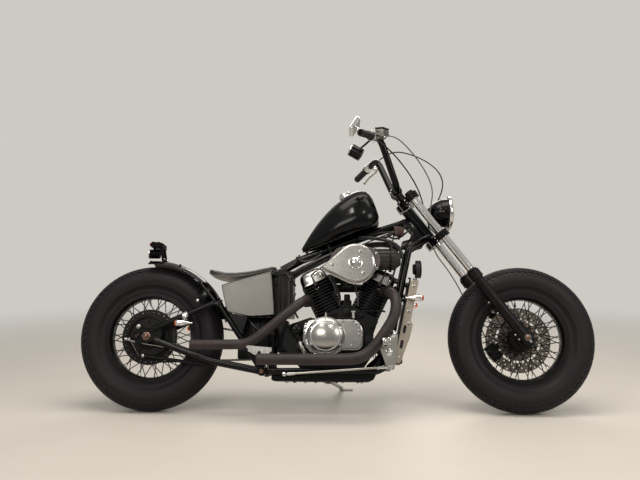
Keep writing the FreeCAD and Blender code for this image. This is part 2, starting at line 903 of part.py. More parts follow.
def risers():
    bar = handlebar()
    stands = []
    for side in (-riser_half_spacing, riser_half_spacing):
        foot = on_fork(upper_clamp_place + clamp_thickness / 2, side, bar_clamp_setback)
        post = rod(foot, bar_clamp_centre(side), riser_radius)
        ring = rod(bar_clamp_centre(side - riser_clamp_width / 2),
                   bar_clamp_centre(side + riser_clamp_width / 2), riser_clamp_radius)
        stands.append(fused([post, ring]).cut(bar))
    return loose(stands)


def grips():
    rubbers = []
    for side in (-1, 1):
        outer, inward = grip_line(side)
        sleeve = rod(outer, outer + inward * grip_length, grip_radius)
        flange = rod(outer + inward * (grip_length - grip_flange_thickness), outer + inward * grip_length,
                     grip_flange_radius)
        bar = rod(outer + inward * facing, outer + inward * (grip_length + overrun), grip_bar_radius)
        rubbers.append(fused([sleeve, flange]).cut(bar))
    return loose(rubbers)


def forward_of_bar(inward):
    # The direction out of the bar towards the front wheel, square to the grip
    ahead = Vector(1, 0, 0) - inward * inward.x
    return unit(ahead)


def lever_tip(outer, inward, pivot_along):
    ahead = forward_of_bar(inward)
    return outer + inward * (pivot_along - lever_length) + ahead * (lever_setback + lever_radius * 2)


def clutch_clamp_along():
    return grip_length + facing + control_gap + clutch_perch_length / 2


def hand_lever(outer, inward, pivot_along):
    pivot = outer + inward * pivot_along + forward_of_bar(inward) * lever_setback
    tip = lever_tip(outer, inward, pivot_along)
    return fused([rod(pivot, tip, lever_radius), Part.makeSphere(lever_radius * 1.5, tip)])


def brake_control():
    outer, inward = grip_line(-1)
    ahead = forward_of_bar(inward)
    below = unit(inward.cross(ahead))
    start = grip_length + facing
    throttle = rod(outer + inward * start, outer + inward * (start + throttle_width), throttle_radius)
    middle = start + throttle_width + control_gap + control_clamp_width / 2
    clamp = rod(outer + inward * (middle - control_clamp_width / 2),
                outer + inward * (middle + control_clamp_width / 2), control_clamp_radius)
    body = Part.makeBox(master_length, master_width, master_height)
    body.translate(Vector(-master_length / 2, -master_width / 2, -master_height / 2))
    body = body.makeFillet(master_height / 5, body.Edges)
    matrix = Matrix(inward.x, ahead.x, below.x, 0, inward.y, ahead.y, below.y, 0,
                    inward.z, ahead.z, below.z, 0, 0, 0, 0, 1)
    body = body.transformGeometry(matrix)
    body.translate(outer + inward * middle + ahead * (bar_radius + master_width / 2)
                   - below * (master_height / 3))
    arm = rod(outer + inward * middle, outer + inward * middle + ahead * lever_setback, lever_radius * 1.6)
    lever = hand_lever(outer, inward, middle)
    bar = handlebar()
    return loose([throttle.cut(bar), fused([clamp, body, arm, lever]).cut(bar)])


def clutch_control():
    outer, inward = grip_line(1)
    ahead = forward_of_bar(inward)
    middle = clutch_clamp_along()
    clamp = rod(outer + inward * (middle - clutch_perch_length / 2),
                outer + inward * (middle + clutch_perch_length / 2), control_clamp_radius)
    arm = rod(outer + inward * middle, outer + inward * middle + ahead * lever_setback, lever_radius * 1.8)
    lever = hand_lever(outer, inward, middle)
    return fused([clamp, arm, lever]).cut(handlebar())


def mirror():
    outer, inward = grip_line(-1)
    centre = Vector(mirror_place_x, -mirror_place_y, mirror_place_z)
    shell = Part.makeBox(mirror_depth, mirror_width, mirror_height)
    shell.translate(Vector(-mirror_depth / 2, -mirror_width / 2, -mirror_height / 2))
    shell = shell.makeFillet(mirror_depth / 4, shell.Edges)
    shell.rotate(Vector(), Vector(0, 1, 0), mirror_tilt)
    shell.translate(centre)
    foot = outer + inward * (grip_length + facing + throttle_width + control_gap + control_clamp_width / 2)
    stem = rod(centre, foot, mirror_stem_radius)
    return fused([shell, stem]).cut(handlebar()).cut(brake_control())


def speedometer():
    outer, inward = grip_line(-1)
    centre = Vector(speedo_place_x, -speedo_place_y, speedo_place_z)
    angle = math.radians(speedo_tilt)
    axis = Vector(-math.cos(angle), 0, math.sin(angle))
    cup = rod(centre - axis * (speedo_length / 2), centre + axis * (speedo_length / 2), speedo_radius)
    foot = outer + inward * (grip_length + facing + throttle_width + control_gap + control_clamp_width / 2)
    strap = rod(centre, foot, mirror_stem_radius)
    return fused([cup, strap]).cut(handlebar()).cut(brake_control())


def headlamp():
    face = Vector(headlamp_face_x, 0, headlamp_z)
    outline = [Vector(-headlamp_length * back, 0, headlamp_radius * out)
               for back, out in headlamp_bowl_shares]
    curve = Part.BSplineCurve()
    curve.interpolate(outline)
    edges = [Part.LineSegment(Vector(outline[0].x, 0, 0), outline[0]).toShape(), curve.toShape(),
             Part.LineSegment(outline[-1], Vector(outline[-1].x, 0, 0)).toShape(),
             Part.LineSegment(Vector(outline[-1].x, 0, 0), Vector(outline[0].x, 0, 0)).toShape()]
    bowl = Part.Face(Part.Wire(edges)).revolve(Vector(), Vector(1, 0, 0), 360)
    bowl.translate(face)
    rim = rod(face - Vector(headlamp_rim_width, 0, 0), face, headlamp_rim_radius)
    seat = rod(face - Vector(headlamp_rim_width / 2, 0, 0), face + Vector(overrun, 0, 0),
               headlamp_radius)
    top = on_fork(lower_clamp_place + clamp_thickness / 2, 0, -clamp_nose + headlamp_leg_radius)
    leg = rod(top, Vector(face.x - headlamp_length / 2, 0, headlamp_z - headlamp_radius / 2),
              headlamp_leg_radius)
    return fused([bowl, rim, leg]).cut(seat).cut(lower_clamp())


def headlamp_lens():
    face = Vector(headlamp_face_x, 0, headlamp_z)
    sphere_radius = (headlamp_radius ** 2 + headlamp_bulge ** 2) / (2 * headlamp_bulge)
    dome = Part.makeSphere(sphere_radius, face + Vector(headlamp_bulge - sphere_radius, 0, 0))
    holder = rod(face - Vector(headlamp_rim_width / 2 - seat_gap, 0, 0), face + Vector(headlamp_bulge, 0, 0),
                 headlamp_radius - seat_gap)
    return dome.common(holder)


def front_axle_pin():
    reach = fork_half_spacing + slider_radius
    pin = rod(Vector(wheelbase, -reach, tyre_radius), Vector(wheelbase, reach, tyre_radius), axle_radius)
    heads = []
    for side in (-1, 1):
        heads.append(prism(Vector(wheelbase, side * reach, tyre_radius),
                           Vector(wheelbase, side * (reach + axle_nut_height), tyre_radius),
                           axle_nut_radius, 6))
    left = disc_place + disc_thickness + spacer_gap
    right = front_hub_half_width + spacer_gap
    inner_leg = fork_half_spacing - slider_radius
    spacers = [rod(front_axle() + Vector(0, left, 0), front_axle() + Vector(0, inner_leg, 0), spacer_radius),
               rod(front_axle() - Vector(0, inner_leg, 0), front_axle() - Vector(0, right, 0), spacer_radius)]
    return fused([pin] + heads + spacers).cut(fork_sliders())


def brake_caliper():
    # A caliper on the back of the left leg, straddling the disc
    back = behind_fork()
    up = up_fork()
    centre = front_axle() + back * (disc_radius - slider_radius) + up * slider_radius
    length = slider_radius * 3
    depth = slider_radius * 2
    low_y = disc_place - slider_radius / 2
    high_y = fork_half_spacing - slider_radius / 2
    body = Part.makeBox(length, high_y - low_y, depth)
    body.translate(Vector(-length / 2, low_y, -depth / 2))
    body = body.makeFillet(depth / 6, [edge for edge in body.Edges if edge.Length > depth])
    matrix = Matrix(up.x, 0, back.x, 0, 0, 1, 0, 0, up.z, 0, back.z, 0, 0, 0, 0, 1)
    body = body.transformGeometry(matrix)
    body.translate(Vector(centre.x, 0, centre.z))
    slot = rod(front_axle() + Vector(0, disc_place - moving_gap, 0),
               front_axle() + Vector(0, disc_place + disc_thickness + moving_gap, 0),
               disc_radius + moving_gap)
    mount = rod(front_axle() + up * (slider_radius * 2) + Vector(0, fork_half_spacing, 0),
                Vector(centre.x, fork_half_spacing - slider_radius / 2, centre.z), slider_radius / 2)
    legs = rod(on_fork(slider_bottom, fork_half_spacing), on_fork(slider_top, fork_half_spacing),
               slider_radius)
    return fused([body, mount]).cut(slot).cut(legs)


# Cables and hose that turn with the fork
def fork_cables():
    hose = bent_rod([Vector(point) for point in brake_hose_route], brake_hose_radius, cable_bend_radius)
    lower = bent_rod([Vector(point) for point in caliper_hose_route], brake_hose_radius, cable_bend_radius)
    clutch = bent_rod([Vector(point) for point in clutch_cable_route], cable_radius, cable_bend_radius)
    throttle = bent_rod([Vector(point) for point in throttle_cable_route], cable_radius, cable_bend_radius)
    cables = []
    for cable in (hose, lower, clutch, throttle):
        for neighbour in (brake_control(), clutch_control(), lower_clamp(), brake_caliper()):
            cable = cable.cut(neighbour)
        cables.append(max(cable.Solids, key=lambda solid: solid.Volume))
    return loose(cables)


# Frame
def frame():
    neck = rod(on_fork(neck_bottom_place, 0, stem_offset), on_fork(neck_top_place, 0, stem_offset),
               neck_radius)
    neck_bore = rod(on_fork(neck_bottom_place - overrun, 0, stem_offset),
                    on_fork(neck_top_place + overrun, 0, stem_offset), stem_radius + bearing_gap)
    backbone = bent_rod([
        Vector(backbone_front_x, 0, backbone_front_z), Vector(backbone_middle_x, 0, backbone_middle_z),
        Vector(backbone_tank_x, 0, backbone_tank_z), Vector(backbone_rear_x, 0, backbone_rear_z)],
        backbone_radius, cradle_bend_radius)
    loops = []
    for side in (-1, 1):
        loops.append(bent_rod([
            on_fork(down_tube_neck_place, side * down_tube_neck_half_spacing, stem_offset),
            Vector(down_tube_shoulder_x, side * down_tube_shoulder_y, down_tube_shoulder_z),
            Vector(cradle_front_x, side * cradle_half_spacing, cradle_front_z),
            Vector(cradle_rear_x, side * cradle_half_spacing, cradle_rear_z)],
            down_tube_radius, cradle_bend_radius))
        loops.append(rod(Vector(cradle_rear_x, side * seat_post_half_spacing, cradle_rear_z),
                         Vector(seat_post_top_x, side * seat_post_half_spacing, seat_post_top_z),
                         down_tube_radius))
    crosses = []
    for x, z, half in (
            (cradle_rear_x, cradle_rear_z, cradle_half_spacing),
            (cradle_front_x - cradle_bend_radius, cradle_front_z, cradle_half_spacing),
            (seat_post_top_x, seat_post_top_z, seat_rail_half_spacing)):
        crosses.append(rod(Vector(x, -half, z), Vector(x, half, z), cross_tube_radius))
    spine = rod(Vector(backbone_rear_x, 0, backbone_rear_z),
                Vector(seat_post_top_x, 0, seat_post_top_z), cross_tube_radius)
    rails = []
    for side in (-1, 1):
        rails.append(rod(Vector(seat_post_top_x, side * seat_rail_half_spacing, seat_post_top_z),
                         Vector(seat_rail_rear_x, side * seat_rail_half_spacing, seat_rail_rear_z),
                         seat_rail_radius))
    solids = [neck, backbone, spine] + loops + crosses + rails + stand_lug() + swingarm_mounts()
    return fused(solids).cut(neck_bore)


def arm_pivot(y=0):
    return Vector(arm_pivot_x, y, cradle_rear_z)


def swingarm_mounts():
    # Two plates behind the rear cross tube, with the bolt that the swingarm hangs on
    mounts = []
    reach = arm_boss_outer_y
    for side in (-1, 1):
        low, high = sorted((side * pivot_plate_inner_y, side * pivot_plate_outer_y))
        mounts.append(capsule_plate(Vector(cradle_rear_x, 0, cradle_rear_z), arm_pivot(),
                                    pivot_plate_radius, pivot_plate_radius, low, high))
        mounts.append(prism(arm_pivot(side * reach), arm_pivot(side * (reach + pivot_bolt_head_height)),
                            pivot_bolt_head_radius, 6))
    mounts.append(rod(arm_pivot(-reach), arm_pivot(reach), pivot_bolt_radius))
    return mounts


def upper_arm_ends(side):
    y = side * arm_half_spacing
    return (Vector(axle_plate_length / 4, y, tyre_radius + axle_plate_height / 2),
            Vector(arm_node_x, y, arm_node_z))


def by_node(shares):
    # Places on the swingarm's side, as shares of the way from its top bend to its pivot
    length = arm_pivot_x - arm_node_x
    drop = cradle_rear_z - arm_node_z
    return [(arm_node_x + length * along, arm_node_z + drop * down) for along, down in shares]


def swingarm():
    parts = []
    for side in (-1, 1):
        y = side * arm_half_spacing
        node = Vector(arm_node_x, y, arm_node_z)
        pivot = arm_pivot(y)
        lower = bent_rod([Vector(axle_plate_length / 3, y, tyre_radius - axle_plate_height / 4),
                          Vector(arm_knee_x, y, arm_knee_z), pivot], arm_lower_radius, arm_bend_radius)
        start = upper_arm_ends(side)[0]
        upper = bent_rod([start, node, pivot], arm_upper_radius, arm_upper_bend_radius)
        lug = capsule_plate(Vector(-axle_plate_length / 4, 0, tyre_radius),
                            Vector(axle_plate_length / 3, 0, tyre_radius + axle_plate_height / 5),
                            axle_plate_height / 2, axle_plate_height / 2,
                            y - axle_plate_thickness / 2, y + axle_plate_thickness / 2)
        boss = rod(arm_pivot(side * (pivot_plate_outer_y + seat_gap)),
                   arm_pivot(side * (arm_boss_outer_y - seat_gap)), arm_pivot_radius)
        gusset = plate(by_node(arm_gusset_shares), y - arm_gusset_thickness / 2, y + arm_gusset_thickness / 2)
        parts += [lower, upper, lug, boss, gusset]
    cross_x = arm_node_x + (arm_pivot_x - arm_node_x) * arm_cross_share
    cross_z = arm_node_z + (cradle_rear_z - arm_node_z) * arm_cross_share
    parts.append(rod(Vector(cross_x, -arm_half_spacing, cross_z), Vector(cross_x, arm_half_spacing, cross_z),
                     arm_cross_radius))
    axle = rod(Vector(0, -arm_half_spacing - overrun, tyre_radius),
               Vector(0, arm_half_spacing + overrun, tyre_radius), axle_radius)
    bolt = rod(arm_pivot(-arm_half_spacing - overrun), arm_pivot(arm_half_spacing + overrun),
               pivot_bolt_radius + pin_gap)
    return fused(parts).cut(axle).cut(bolt)


def rear_axle_pin():
    reach = arm_half_spacing + axle_plate_thickness / 2
    pin = rod(Vector(0, -reach, tyre_radius), Vector(0, reach, tyre_radius), axle_radius)
    heads = []
    for side in (-1, 1):
        heads.append(prism(Vector(0, side * reach, tyre_radius),
                           Vector(0, side * (reach + axle_nut_height), tyre_radius), axle_nut_radius, 6))
    left = sprocket_place + sprocket_thickness / 2 + spacer_gap
    spacer = rod(rear_axle() + Vector(0, left, 0),
                 rear_axle() + Vector(0, arm_half_spacing - axle_plate_thickness / 2, 0), spacer_radius)
    return fused([pin, spacer] + heads)


def brake_panel():
    # The drum's fixed panel, its boss out to the axle plate, the cam arm and the torque rod
    face_y = -drum_right_reach + facing
    panel = rod(rear_axle() + Vector(0, face_y, 0),
                rear_axle() + Vector(0, face_y + brake_panel_thickness - facing, 0), brake_panel_radius)
    boss_y = -arm_half_spacing + axle_plate_thickness / 2
    boss = rod(rear_axle() + Vector(0, boss_y, 0), rear_axle() + Vector(0, face_y, 0), rear_hub_radius)
    bore = rod(rear_axle() + Vector(0, -arm_half_spacing - overrun, 0), rear_axle() + Vector(0, overrun, 0),
               axle_radius)
    cam = rear_axle() + Vector(-brake_panel_radius / 2, face_y, brake_panel_radius / 2)
    cam_boss = rod(cam + Vector(0, -axle_nut_height, 0), cam, axle_radius)
    arm_end = rear_axle() + Vector(-brake_panel_radius * 0.9, face_y, -brake_panel_radius * 0.1)
    arm = capsule_plate(cam, arm_end, axle_radius, axle_radius / 2, cam.y - axle_nut_height,
                        cam.y - axle_nut_height / 2)
    return fused([panel, boss, cam_boss, arm]).cut(bore)


def torque_rod():
    face_y = -drum_right_reach - axle_nut_height
    rear = rear_axle() + Vector(-brake_panel_radius * 0.2, face_y, -brake_panel_radius * 0.9)
    front = Vector(torque_rod_front_x, -arm_half_spacing + arm_lower_radius + rod_radius * 2,
                   torque_rod_front_z)
    bolt = rod(rear, rear + Vector(0, axle_nut_height + facing, 0), rod_radius * 1.6)
    lug = rod(front, front + Vector(0, 0, arm_lower_radius), rod_radius * 1.6)
    return fused([rod(rear, front, rod_radius * 1.6), bolt, lug]).cut(swingarm()).cut(brake_panel())


# Engine
def cylinder_axis(way):
    angle = math.radians(cylinder_angle) * way
    return Vector(math.sin(angle), 0, math.cos(angle))


def crank():
    return Vector(crank_x, 0, crank_z)


def cylinder_cross(way):
    axis = cylinder_axis(way)
    return Vector(axis.z, 0, -axis.x)


def barrel_corner(way, side):
    # Where the lowest fin ends, fore or aft of a cylinder
    corner = crank() + cylinder_axis(way) * barrel_base + cylinder_cross(way) * (fin_half_length * side)
    return corner.x, corner.z


def crankcase():
    outline = []
    sole_z = cradle_rear_z + down_tube_radius + seat_gap
    for first, second in case_outline_shares:
        if second == "sole":
            share = case_sole_front_share if first == "front" else case_sole_rear_share
            outline.append((crank_x + case_reach * share, sole_z))
        elif first == "front":
            outline.append(barrel_corner(1, second))
        elif first == "rear":
            outline.append(barrel_corner(-1, second))
        else:
            outline.append((crank_x + case_reach * first, crank_z + case_reach * second))
    body = plate(outline, -case_half_width, case_half_width)
    upright = [edge for edge in body.Edges if edge.BoundBox.YLength > case_half_width
               and edge.BoundBox.ZMin > sole_z + case_corner_radius]
    body = body.makeFillet(case_corner_radius, upright)
    pocket = block(Vector(crank_x - case_reach - overrun, case_chain_pocket_y, 0),
                   Vector(case_chain_pocket_x, case_half_width + overrun, crank_z + case_reach))
    shaft = rod(Vector(drive_sprocket_x, 0, drive_sprocket_z),
                Vector(drive_sprocket_x, sprocket_place, drive_sprocket_z), axle_radius)
    wheel = rod(Vector(drive_sprocket_x, sprocket_place - sprocket_thickness / 2, drive_sprocket_z),
                Vector(drive_sprocket_x, sprocket_place + sprocket_thickness / 2, drive_sprocket_z),
                drive_sprocket_radius - seat_gap)
    return fused([body.cut(pocket), shaft, wheel]).cut(frame()).cut(cylinder(-1)).cut(cylinder(1))


def fin_slab(half_length, half_width, thickness, corner_radius):
    solid = Part.makeBox(half_length * 2, half_width * 2, thickness)
    solid.translate(Vector(-half_length, -half_width, 0))
    corners = [edge for edge in solid.Edges if abs(edge.Length - thickness) < pin_gap]
    return solid.makeFillet(corner_radius, corners)


def stood_on_cylinder(shape, way, height):
    shape = shape.copy()
    shape.rotate(Vector(), Vector(0, 1, 0), cylinder_angle * way)
    shape.translate(crank() + cylinder_axis(way) * height)
    return shape


def cylinder(way):
    length = barrel_top - barrel_base
    barrel = Part.makeCylinder(barrel_radius, length)
    parts = [barrel]
    step = (length - fin_thickness) / (fin_count - 1)
    for index in range(fin_count):
        fin = fin_slab(fin_half_length, fin_half_width, fin_thickness, fin_corner_radius)
        fin.translate(Vector(0, 0, step * index))
        parts.append(fin)
    return stood_on_cylinder(fused(parts), way, barrel_base)


def rocker_cover(way):
    # A flange on the head, the domed body and the raised cap that its bolts hold down
    flange = fin_slab(rocker_half_length, rocker_half_width, rocker_flange_height, rocker_corner_radius)
    body_height = rocker_height * rocker_body_share
    body = fin_slab(rocker_half_length - facing, rocker_half_width - facing, body_height,
                    rocker_corner_radius)
    body = body.makeFillet(rocker_corner_radius * 0.8, top_edges(body, body_height))
    cap = fin_slab(rocker_cap_half_length, rocker_cap_half_width, rocker_height, rocker_cap_corner_radius)
    cap = cap.makeFillet(rocker_cap_corner_radius / 2, top_edges(cap, rocker_height))
    return stood_on_cylinder(fused([flange, body, cap]), way, barrel_top)


def top_edges(solid, height):
    return [edge for edge in solid.Edges if edge.BoundBox.ZMin > height - pin_gap]


def right_cover():
    outline = [(right_cover_x + right_cover_half_length * x, right_cover_z + right_cover_half_height * z)
               for x, z in right_cover_outline_shares]
    low = -case_half_width - right_cover_depth
    solid = plate(outline, low, -case_half_width)
    upright = [edge for edge in solid.Edges
               if abs(edge.BoundBox.YLength - right_cover_depth) < pin_gap]
    solid = solid.makeFillet(right_cover_corner_radius, upright)
    face_edges = [edge for edge in solid.Edges if edge.BoundBox.YMax < low + pin_gap]
    return solid.makeFillet(right_cover_edge_radius, face_edges)


def domed(centre, direction, radius, rim_depth, dome_depth):
    # A flat round rim that carries a shallow ball-shaped cap
    ball = (radius ** 2 + dome_depth ** 2) / (2 * dome_depth)
    rim = Part.makeCylinder(radius, rim_depth)
    cap = Part.makeSphere(ball, Vector(0, 0, rim_depth + dome_depth - ball))
    keep = Part.makeCylinder(radius, dome_depth, Vector(0, 0, rim_depth))
    return at_place(fused([rim, cap.common(keep)]), direction, centre)


def clutch_cover():
    centre = Vector(clutch_x, -case_half_width - right_cover_depth, clutch_z)
    return domed(centre, Vector(0, -1, 0), clutch_radius, clutch_rim_depth, clutch_dome_depth)


def water_pump():
    # A domed housing on the case's side behind the clutch, with its pipe elbow turned down
    base = Vector(pump_x, -case_half_width, pump_z)
    neck_end = base - Vector(0, pump_stand_off, 0)
    neck = rod(base, neck_end, pump_radius * pump_neck_share)
    body = domed(neck_end, Vector(0, -1, 0), pump_radius, pump_rim_depth, pump_dome_depth)
    out_y = neck_end.y - pump_rim_depth / 2
    elbow = bent_rod([Vector(pump_x, out_y, pump_z - pump_radius / 2),
                      Vector(pump_x + pump_elbow_reach / 2, out_y, pump_z - pump_elbow_drop),
                      Vector(pump_x + pump_elbow_reach, out_y / 2 - case_half_width / 2,
                             pump_z - pump_elbow_drop * 1.3)],
                     pump_elbow_radius, pump_elbow_radius * 1.6)
    return fused([neck, body, elbow])


def left_cover():
    centre = Vector(left_cover_x, case_half_width, left_cover_z)
    return domed(centre, Vector(0, 1, 0), left_cover_radius, left_cover_depth / 2, left_cover_depth / 2)


def sprocket_cover():
    return capsule_plate(Vector(drive_sprocket_x, 0, drive_sprocket_z),
                         Vector(drive_sprocket_x + drive_sprocket_radius * 3, 0, drive_sprocket_z),
                         drive_sprocket_radius * 1.5, drive_sprocket_radius * 1.5,
                         case_half_width, case_half_width + axle_nut_height)


# Intake
def air_cleaner():
    low = -filter_face_y
    high = low + filter_depth
    body = capsule_plate(Vector(filter_x, 0, filter_z), Vector(filter_tip_x, 0, filter_tip_z),
                         filter_radius, filter_tip_radius, low, high)
    front = [edge for edge in body.Edges if edge.BoundBox.YMax < low + pin_gap]
    body = body.makeFillet(filter_tip_radius * 0.8, front)
    centre = Vector(filter_x, low, filter_z)
    boss = domed(centre, Vector(0, -1, 0), filter_boss_radius, facing, filter_boss_height)
    return fused([body, boss])


def air_cleaner_back():
    low = -filter_face_y + filter_depth
    high = low + back_plate_depth
    return capsule_plate(Vector(back_plate_front_x, 0, back_plate_z),
                         Vector(back_plate_rear_x, 0, back_plate_z),
                         back_plate_radius, back_plate_radius, low, high)


def carburettor():
    # The throttle body behind the filter and the manifold that feeds both heads
    back_y = -filter_face_y + filter_depth + back_plate_depth
    throat = rod(Vector(crank_x, back_y, back_plate_z), Vector(crank_x, intake_radius, back_plate_z),
                 intake_radius)
    front = crank() + cylinder_axis(1) * manifold_place
    rear = crank() + cylinder_axis(-1) * manifold_place
    runner = rod(rear, front, manifold_radius)
    riser = rod(Vector(crank_x, 0, front.z), Vector(crank_x, 0, back_plate_z), manifold_radius)
    return fused([throat, runner, riser]).cut(cylinder(1)).cut(cylinder(-1))


def canister():
    canister_y = filter_face_y - filter_depth - back_plate_depth - canister_radius - seat_gap
    start = Vector(canister_rear_x, -canister_y, canister_z)
    end = Vector(canister_front_x - canister_radius * 0.6, -canister_y, canister_z)
    barrel = rod(start, end, canister_radius)
    nose = cone(end, Vector(canister_front_x, -canister_y, canister_z), canister_radius,
                canister_radius * 0.55)
    solid = fused([barrel, nose])
    for index in range(canister_rib_count):
        angle = 2 * math.pi * index / canister_rib_count
        offset = Vector(0, math.cos(angle), math.sin(angle)) * canister_radius
        groove = rod(start + offset - Vector(overrun, 0, 0), end + offset, canister_rib_depth)
        solid = solid.cut(groove)
    return solid


# Exhaust
def open_pipe(points, radius, bend_radius):
    outside = bent_rod(points, radius, bend_radius)
    end = points[-1]
    inward = unit(points[-2] - end)
    hollow = rod(end - inward * overrun, end + inward * (radius * 3), radius - pipe_wall)
    return outside.cut(hollow)


def by_engine(shares):
    # Places given as shares of the crankcase: forward, left and up from the crankshaft
    return [crank() + Vector(case_reach * ahead, case_half_width * left, case_reach * up)
            for ahead, left, up in shares]


def rear_pipe():
    points = by_engine(rear_pipe_shares)
    return open_pipe(points, rear_pipe_radius, rear_pipe_radius * 2.2).cut(cylinder(-1))


def front_pipe():
    points = by_engine(front_pipe_shares)
    return open_pipe(points, front_pipe_radius, front_pipe_radius * 1.8).cut(cylinder(1))


def pipe_hanger():
    # A strap between the two pipes, held by a rod from the cradle
    rear_points = by_engine(rear_pipe_shares)
    front_points = by_engine(front_pipe_shares)
    pipe_y = front_points[-1].y
    high_z = rear_points[-1].z
    low_z = front_points[-1].z
    outline = [(crank_x + case_reach * along, low_z + (high_z - low_z) * rise)
               for along, rise in pipe_hanger_shares]
    strap = plate(outline, pipe_y, pipe_y + pipe_hanger_thickness)
    middle_z = (high_z + low_z + front_pipe_radius - rear_pipe_radius) / 2
    bar = rod(Vector(cradle_rear_x - axle_radius, pipe_y + pipe_hanger_thickness / 2, middle_z),
              Vector(cradle_rear_x - axle_radius, -cradle_half_spacing, cradle_rear_z + down_tube_radius / 2),
              rod_radius)
    solid = fused([strap, bar])
    return solid.cut(frame()).cut(rear_pipe_core()).cut(front_pipe_core())


def rear_pipe_core():
    return bent_rod(by_engine(rear_pipe_shares), rear_pipe_radius, rear_pipe_radius * 2.2)


def front_pipe_core():
    return bent_rod(by_engine(front_pipe_shares), front_pipe_radius, front_pipe_radius * 1.8)


# Bodywork
def fuel_tank():
    angle = math.radians(tank_angle)
    along = Vector(math.cos(angle), 0, math.sin(angle))
    above = Vector(-math.sin(angle), 0, math.cos(angle))
    tail = Vector(tank_tail_x, 0, tank_tail_z)
    sections = []
    for place, low, high, width in tank_section_shares:
        centre = tail + along * (tank_length * place)
        bottom = tank_height * low
        top = tank_height * high
        half = tank_half_width * width
        points = []
        for y_share, z_share in tank_outline_shares:
            points.append(centre + Vector(0, half * y_share, 0) + above * (bottom + (top - bottom) * z_share))
        left = [Vector(point.x, -point.y, point.z) for point in reversed(points[1:-1])]
        curve = Part.BSplineCurve()
        curve.interpolate(points + left, PeriodicFlag=True)
        sections.append(Part.Wire(curve.toShape()))
    tank = Part.makeLoft(sections, True, False)
    backbone = bent_rod([
        Vector(backbone_front_x, 0, backbone_front_z), Vector(backbone_middle_x, 0, backbone_middle_z),
        Vector(backbone_tank_x, 0, backbone_tank_z), Vector(backbone_rear_x, 0, backbone_rear_z)],
        backbone_radius + seat_gap, cradle_bend_radius)
    return tank.cut(backbone)


def seat():
    under = [Vector(seat_rear_x, 0, seat_rear_z), Vector(seat_rear_x + seat_thickness * 3, 0, seat_low_z),
             Vector(seat_low_x, 0, seat_low_z), Vector(seat_front_x, 0, seat_front_z)]
    top = [Vector(point.x, 0, point.z + seat_thickness) for point in reversed(under)]
    face_edges = [Part.BSplineCurve(), Part.BSplineCurve()]
    face_edges[0].interpolate(top)
    face_edges[1].interpolate(under)
    edges = [face_edges[0].toShape(), Part.LineSegment(top[-1], under[0]).toShape(),
             face_edges[1].toShape(), Part.LineSegment(under[-1], top[0]).toShape()]
    profile = Part.Face(Part.Wire(edges))
    profile.translate(Vector(0, -seat_half_width, 0))
    slab = profile.extrude(Vector(0, seat_half_width * 2, 0))
    low_z = seat_low_z - overrun * 2
    left = [Vector(seat_front_x, seat_nose_half_width, low_z),
            Vector(seat_low_x + seat_nose_half_width, seat_half_width, low_z),
            Vector(seat_rear_x + seat_nose_half_width, seat_half_width, low_z),
            Vector(seat_rear_x, seat_nose_half_width, low_z)]
    plan = left + [Vector(point.x, -point.y, low_z) for point in reversed(left)]
    plan.append(plan[0])
    cutter = Part.Face(Part.makePolygon(plan)).extrude(Vector(0, 0, seat_half_width * 2))
    return slab.common(cutter).cut(frame())


def side_covers():
    outline = [(side_cover_rear_top_x, side_cover_rear_top_z),
               (side_cover_front_top_x, side_cover_front_top_z),
               (side_cover_front_bottom_x, side_cover_front_bottom_z),
               (side_cover_low_x, side_cover_low_z),
               (side_cover_rear_bottom_x, side_cover_rear_bottom_z)]
    low = side_cover_face_y - side_cover_depth
    cover = plate(outline, low, side_cover_face_y)
    legs = [rod(Vector(arm_node_x, arm_half_spacing, arm_node_z), arm_pivot(arm_half_spacing),
                arm_upper_radius + seat_gap)]
    studs = [rod(Vector(x, battery_half_width, z), Vector(x, side_cover_face_y - facing, z),
                 cover_stud_radius) for x, z in cover_stud_places]
    cover = fused([cover.cut(loose(legs))] + studs)
    return loose(both_sides(cover)).cut(frame()).cut(swingarm())


def battery_box():
    low = block(Vector(side_cover_low_x, -battery_half_width, battery_bottom_z),
                Vector(battery_step_x, battery_half_width, battery_step_z))
    tall = block(Vector(battery_step_x, -battery_half_width, battery_bottom_z),
                 Vector(battery_front_x, battery_half_width, battery_top_z))
    box = fused([low, tall])
    return box.cut(frame()).cut(swingarm())


def guard_arc(inset):
    side_radius = guard_radius - guard_crown
    half = guard_half_width - inset
    return Part.Arc(Vector(0, -half, side_radius), Vector(0, 0, guard_radius - inset),
                    Vector(0, half, side_radius)).toShape()


def guard_envelope():
    # The full ring that fills the mudguard, for what stands on it
    arc = guard_arc(-seat_gap)
    ends = [vertex.Point for vertex in arc.Vertexes]
    edges = [arc, Part.LineSegment(ends[1], Vector(0, ends[1].y, 0)).toShape(),
             Part.LineSegment(Vector(0, ends[1].y, 0), Vector(0, ends[0].y, 0)).toShape(),
             Part.LineSegment(Vector(0, ends[0].y, 0), ends[0]).toShape()]
    solid = Part.Face(Part.Wire(edges)).revolve(Vector(), Vector(0, 1, 0), 360)
    solid.translate(rear_axle())
    return solid


def rear_mudguard():
    outer = guard_arc(0)
    inner = guard_arc(guard_thickness)
    first = [vertex.Point for vertex in outer.Vertexes]
    second = [vertex.Point for vertex in inner.Vertexes]
    edges = [outer, Part.LineSegment(first[1], second[1]).toShape(), inner,
             Part.LineSegment(second[0], first[0]).toShape()]
    face = Part.Face(Part.Wire(Part.sortEdges(edges)[0]))
    # The profile starts straight above the axle, so it first turns back to the rear end
    face.rotate(Vector(), Vector(0, 1, 0), 90 - guard_rear_angle)
    skin = face.revolve(Vector(), Vector(0, 1, 0), guard_rear_angle - guard_front_angle)
    skin.translate(rear_axle())
    return skin.fuse(mudguard_struts(skin)).removeSplitter()


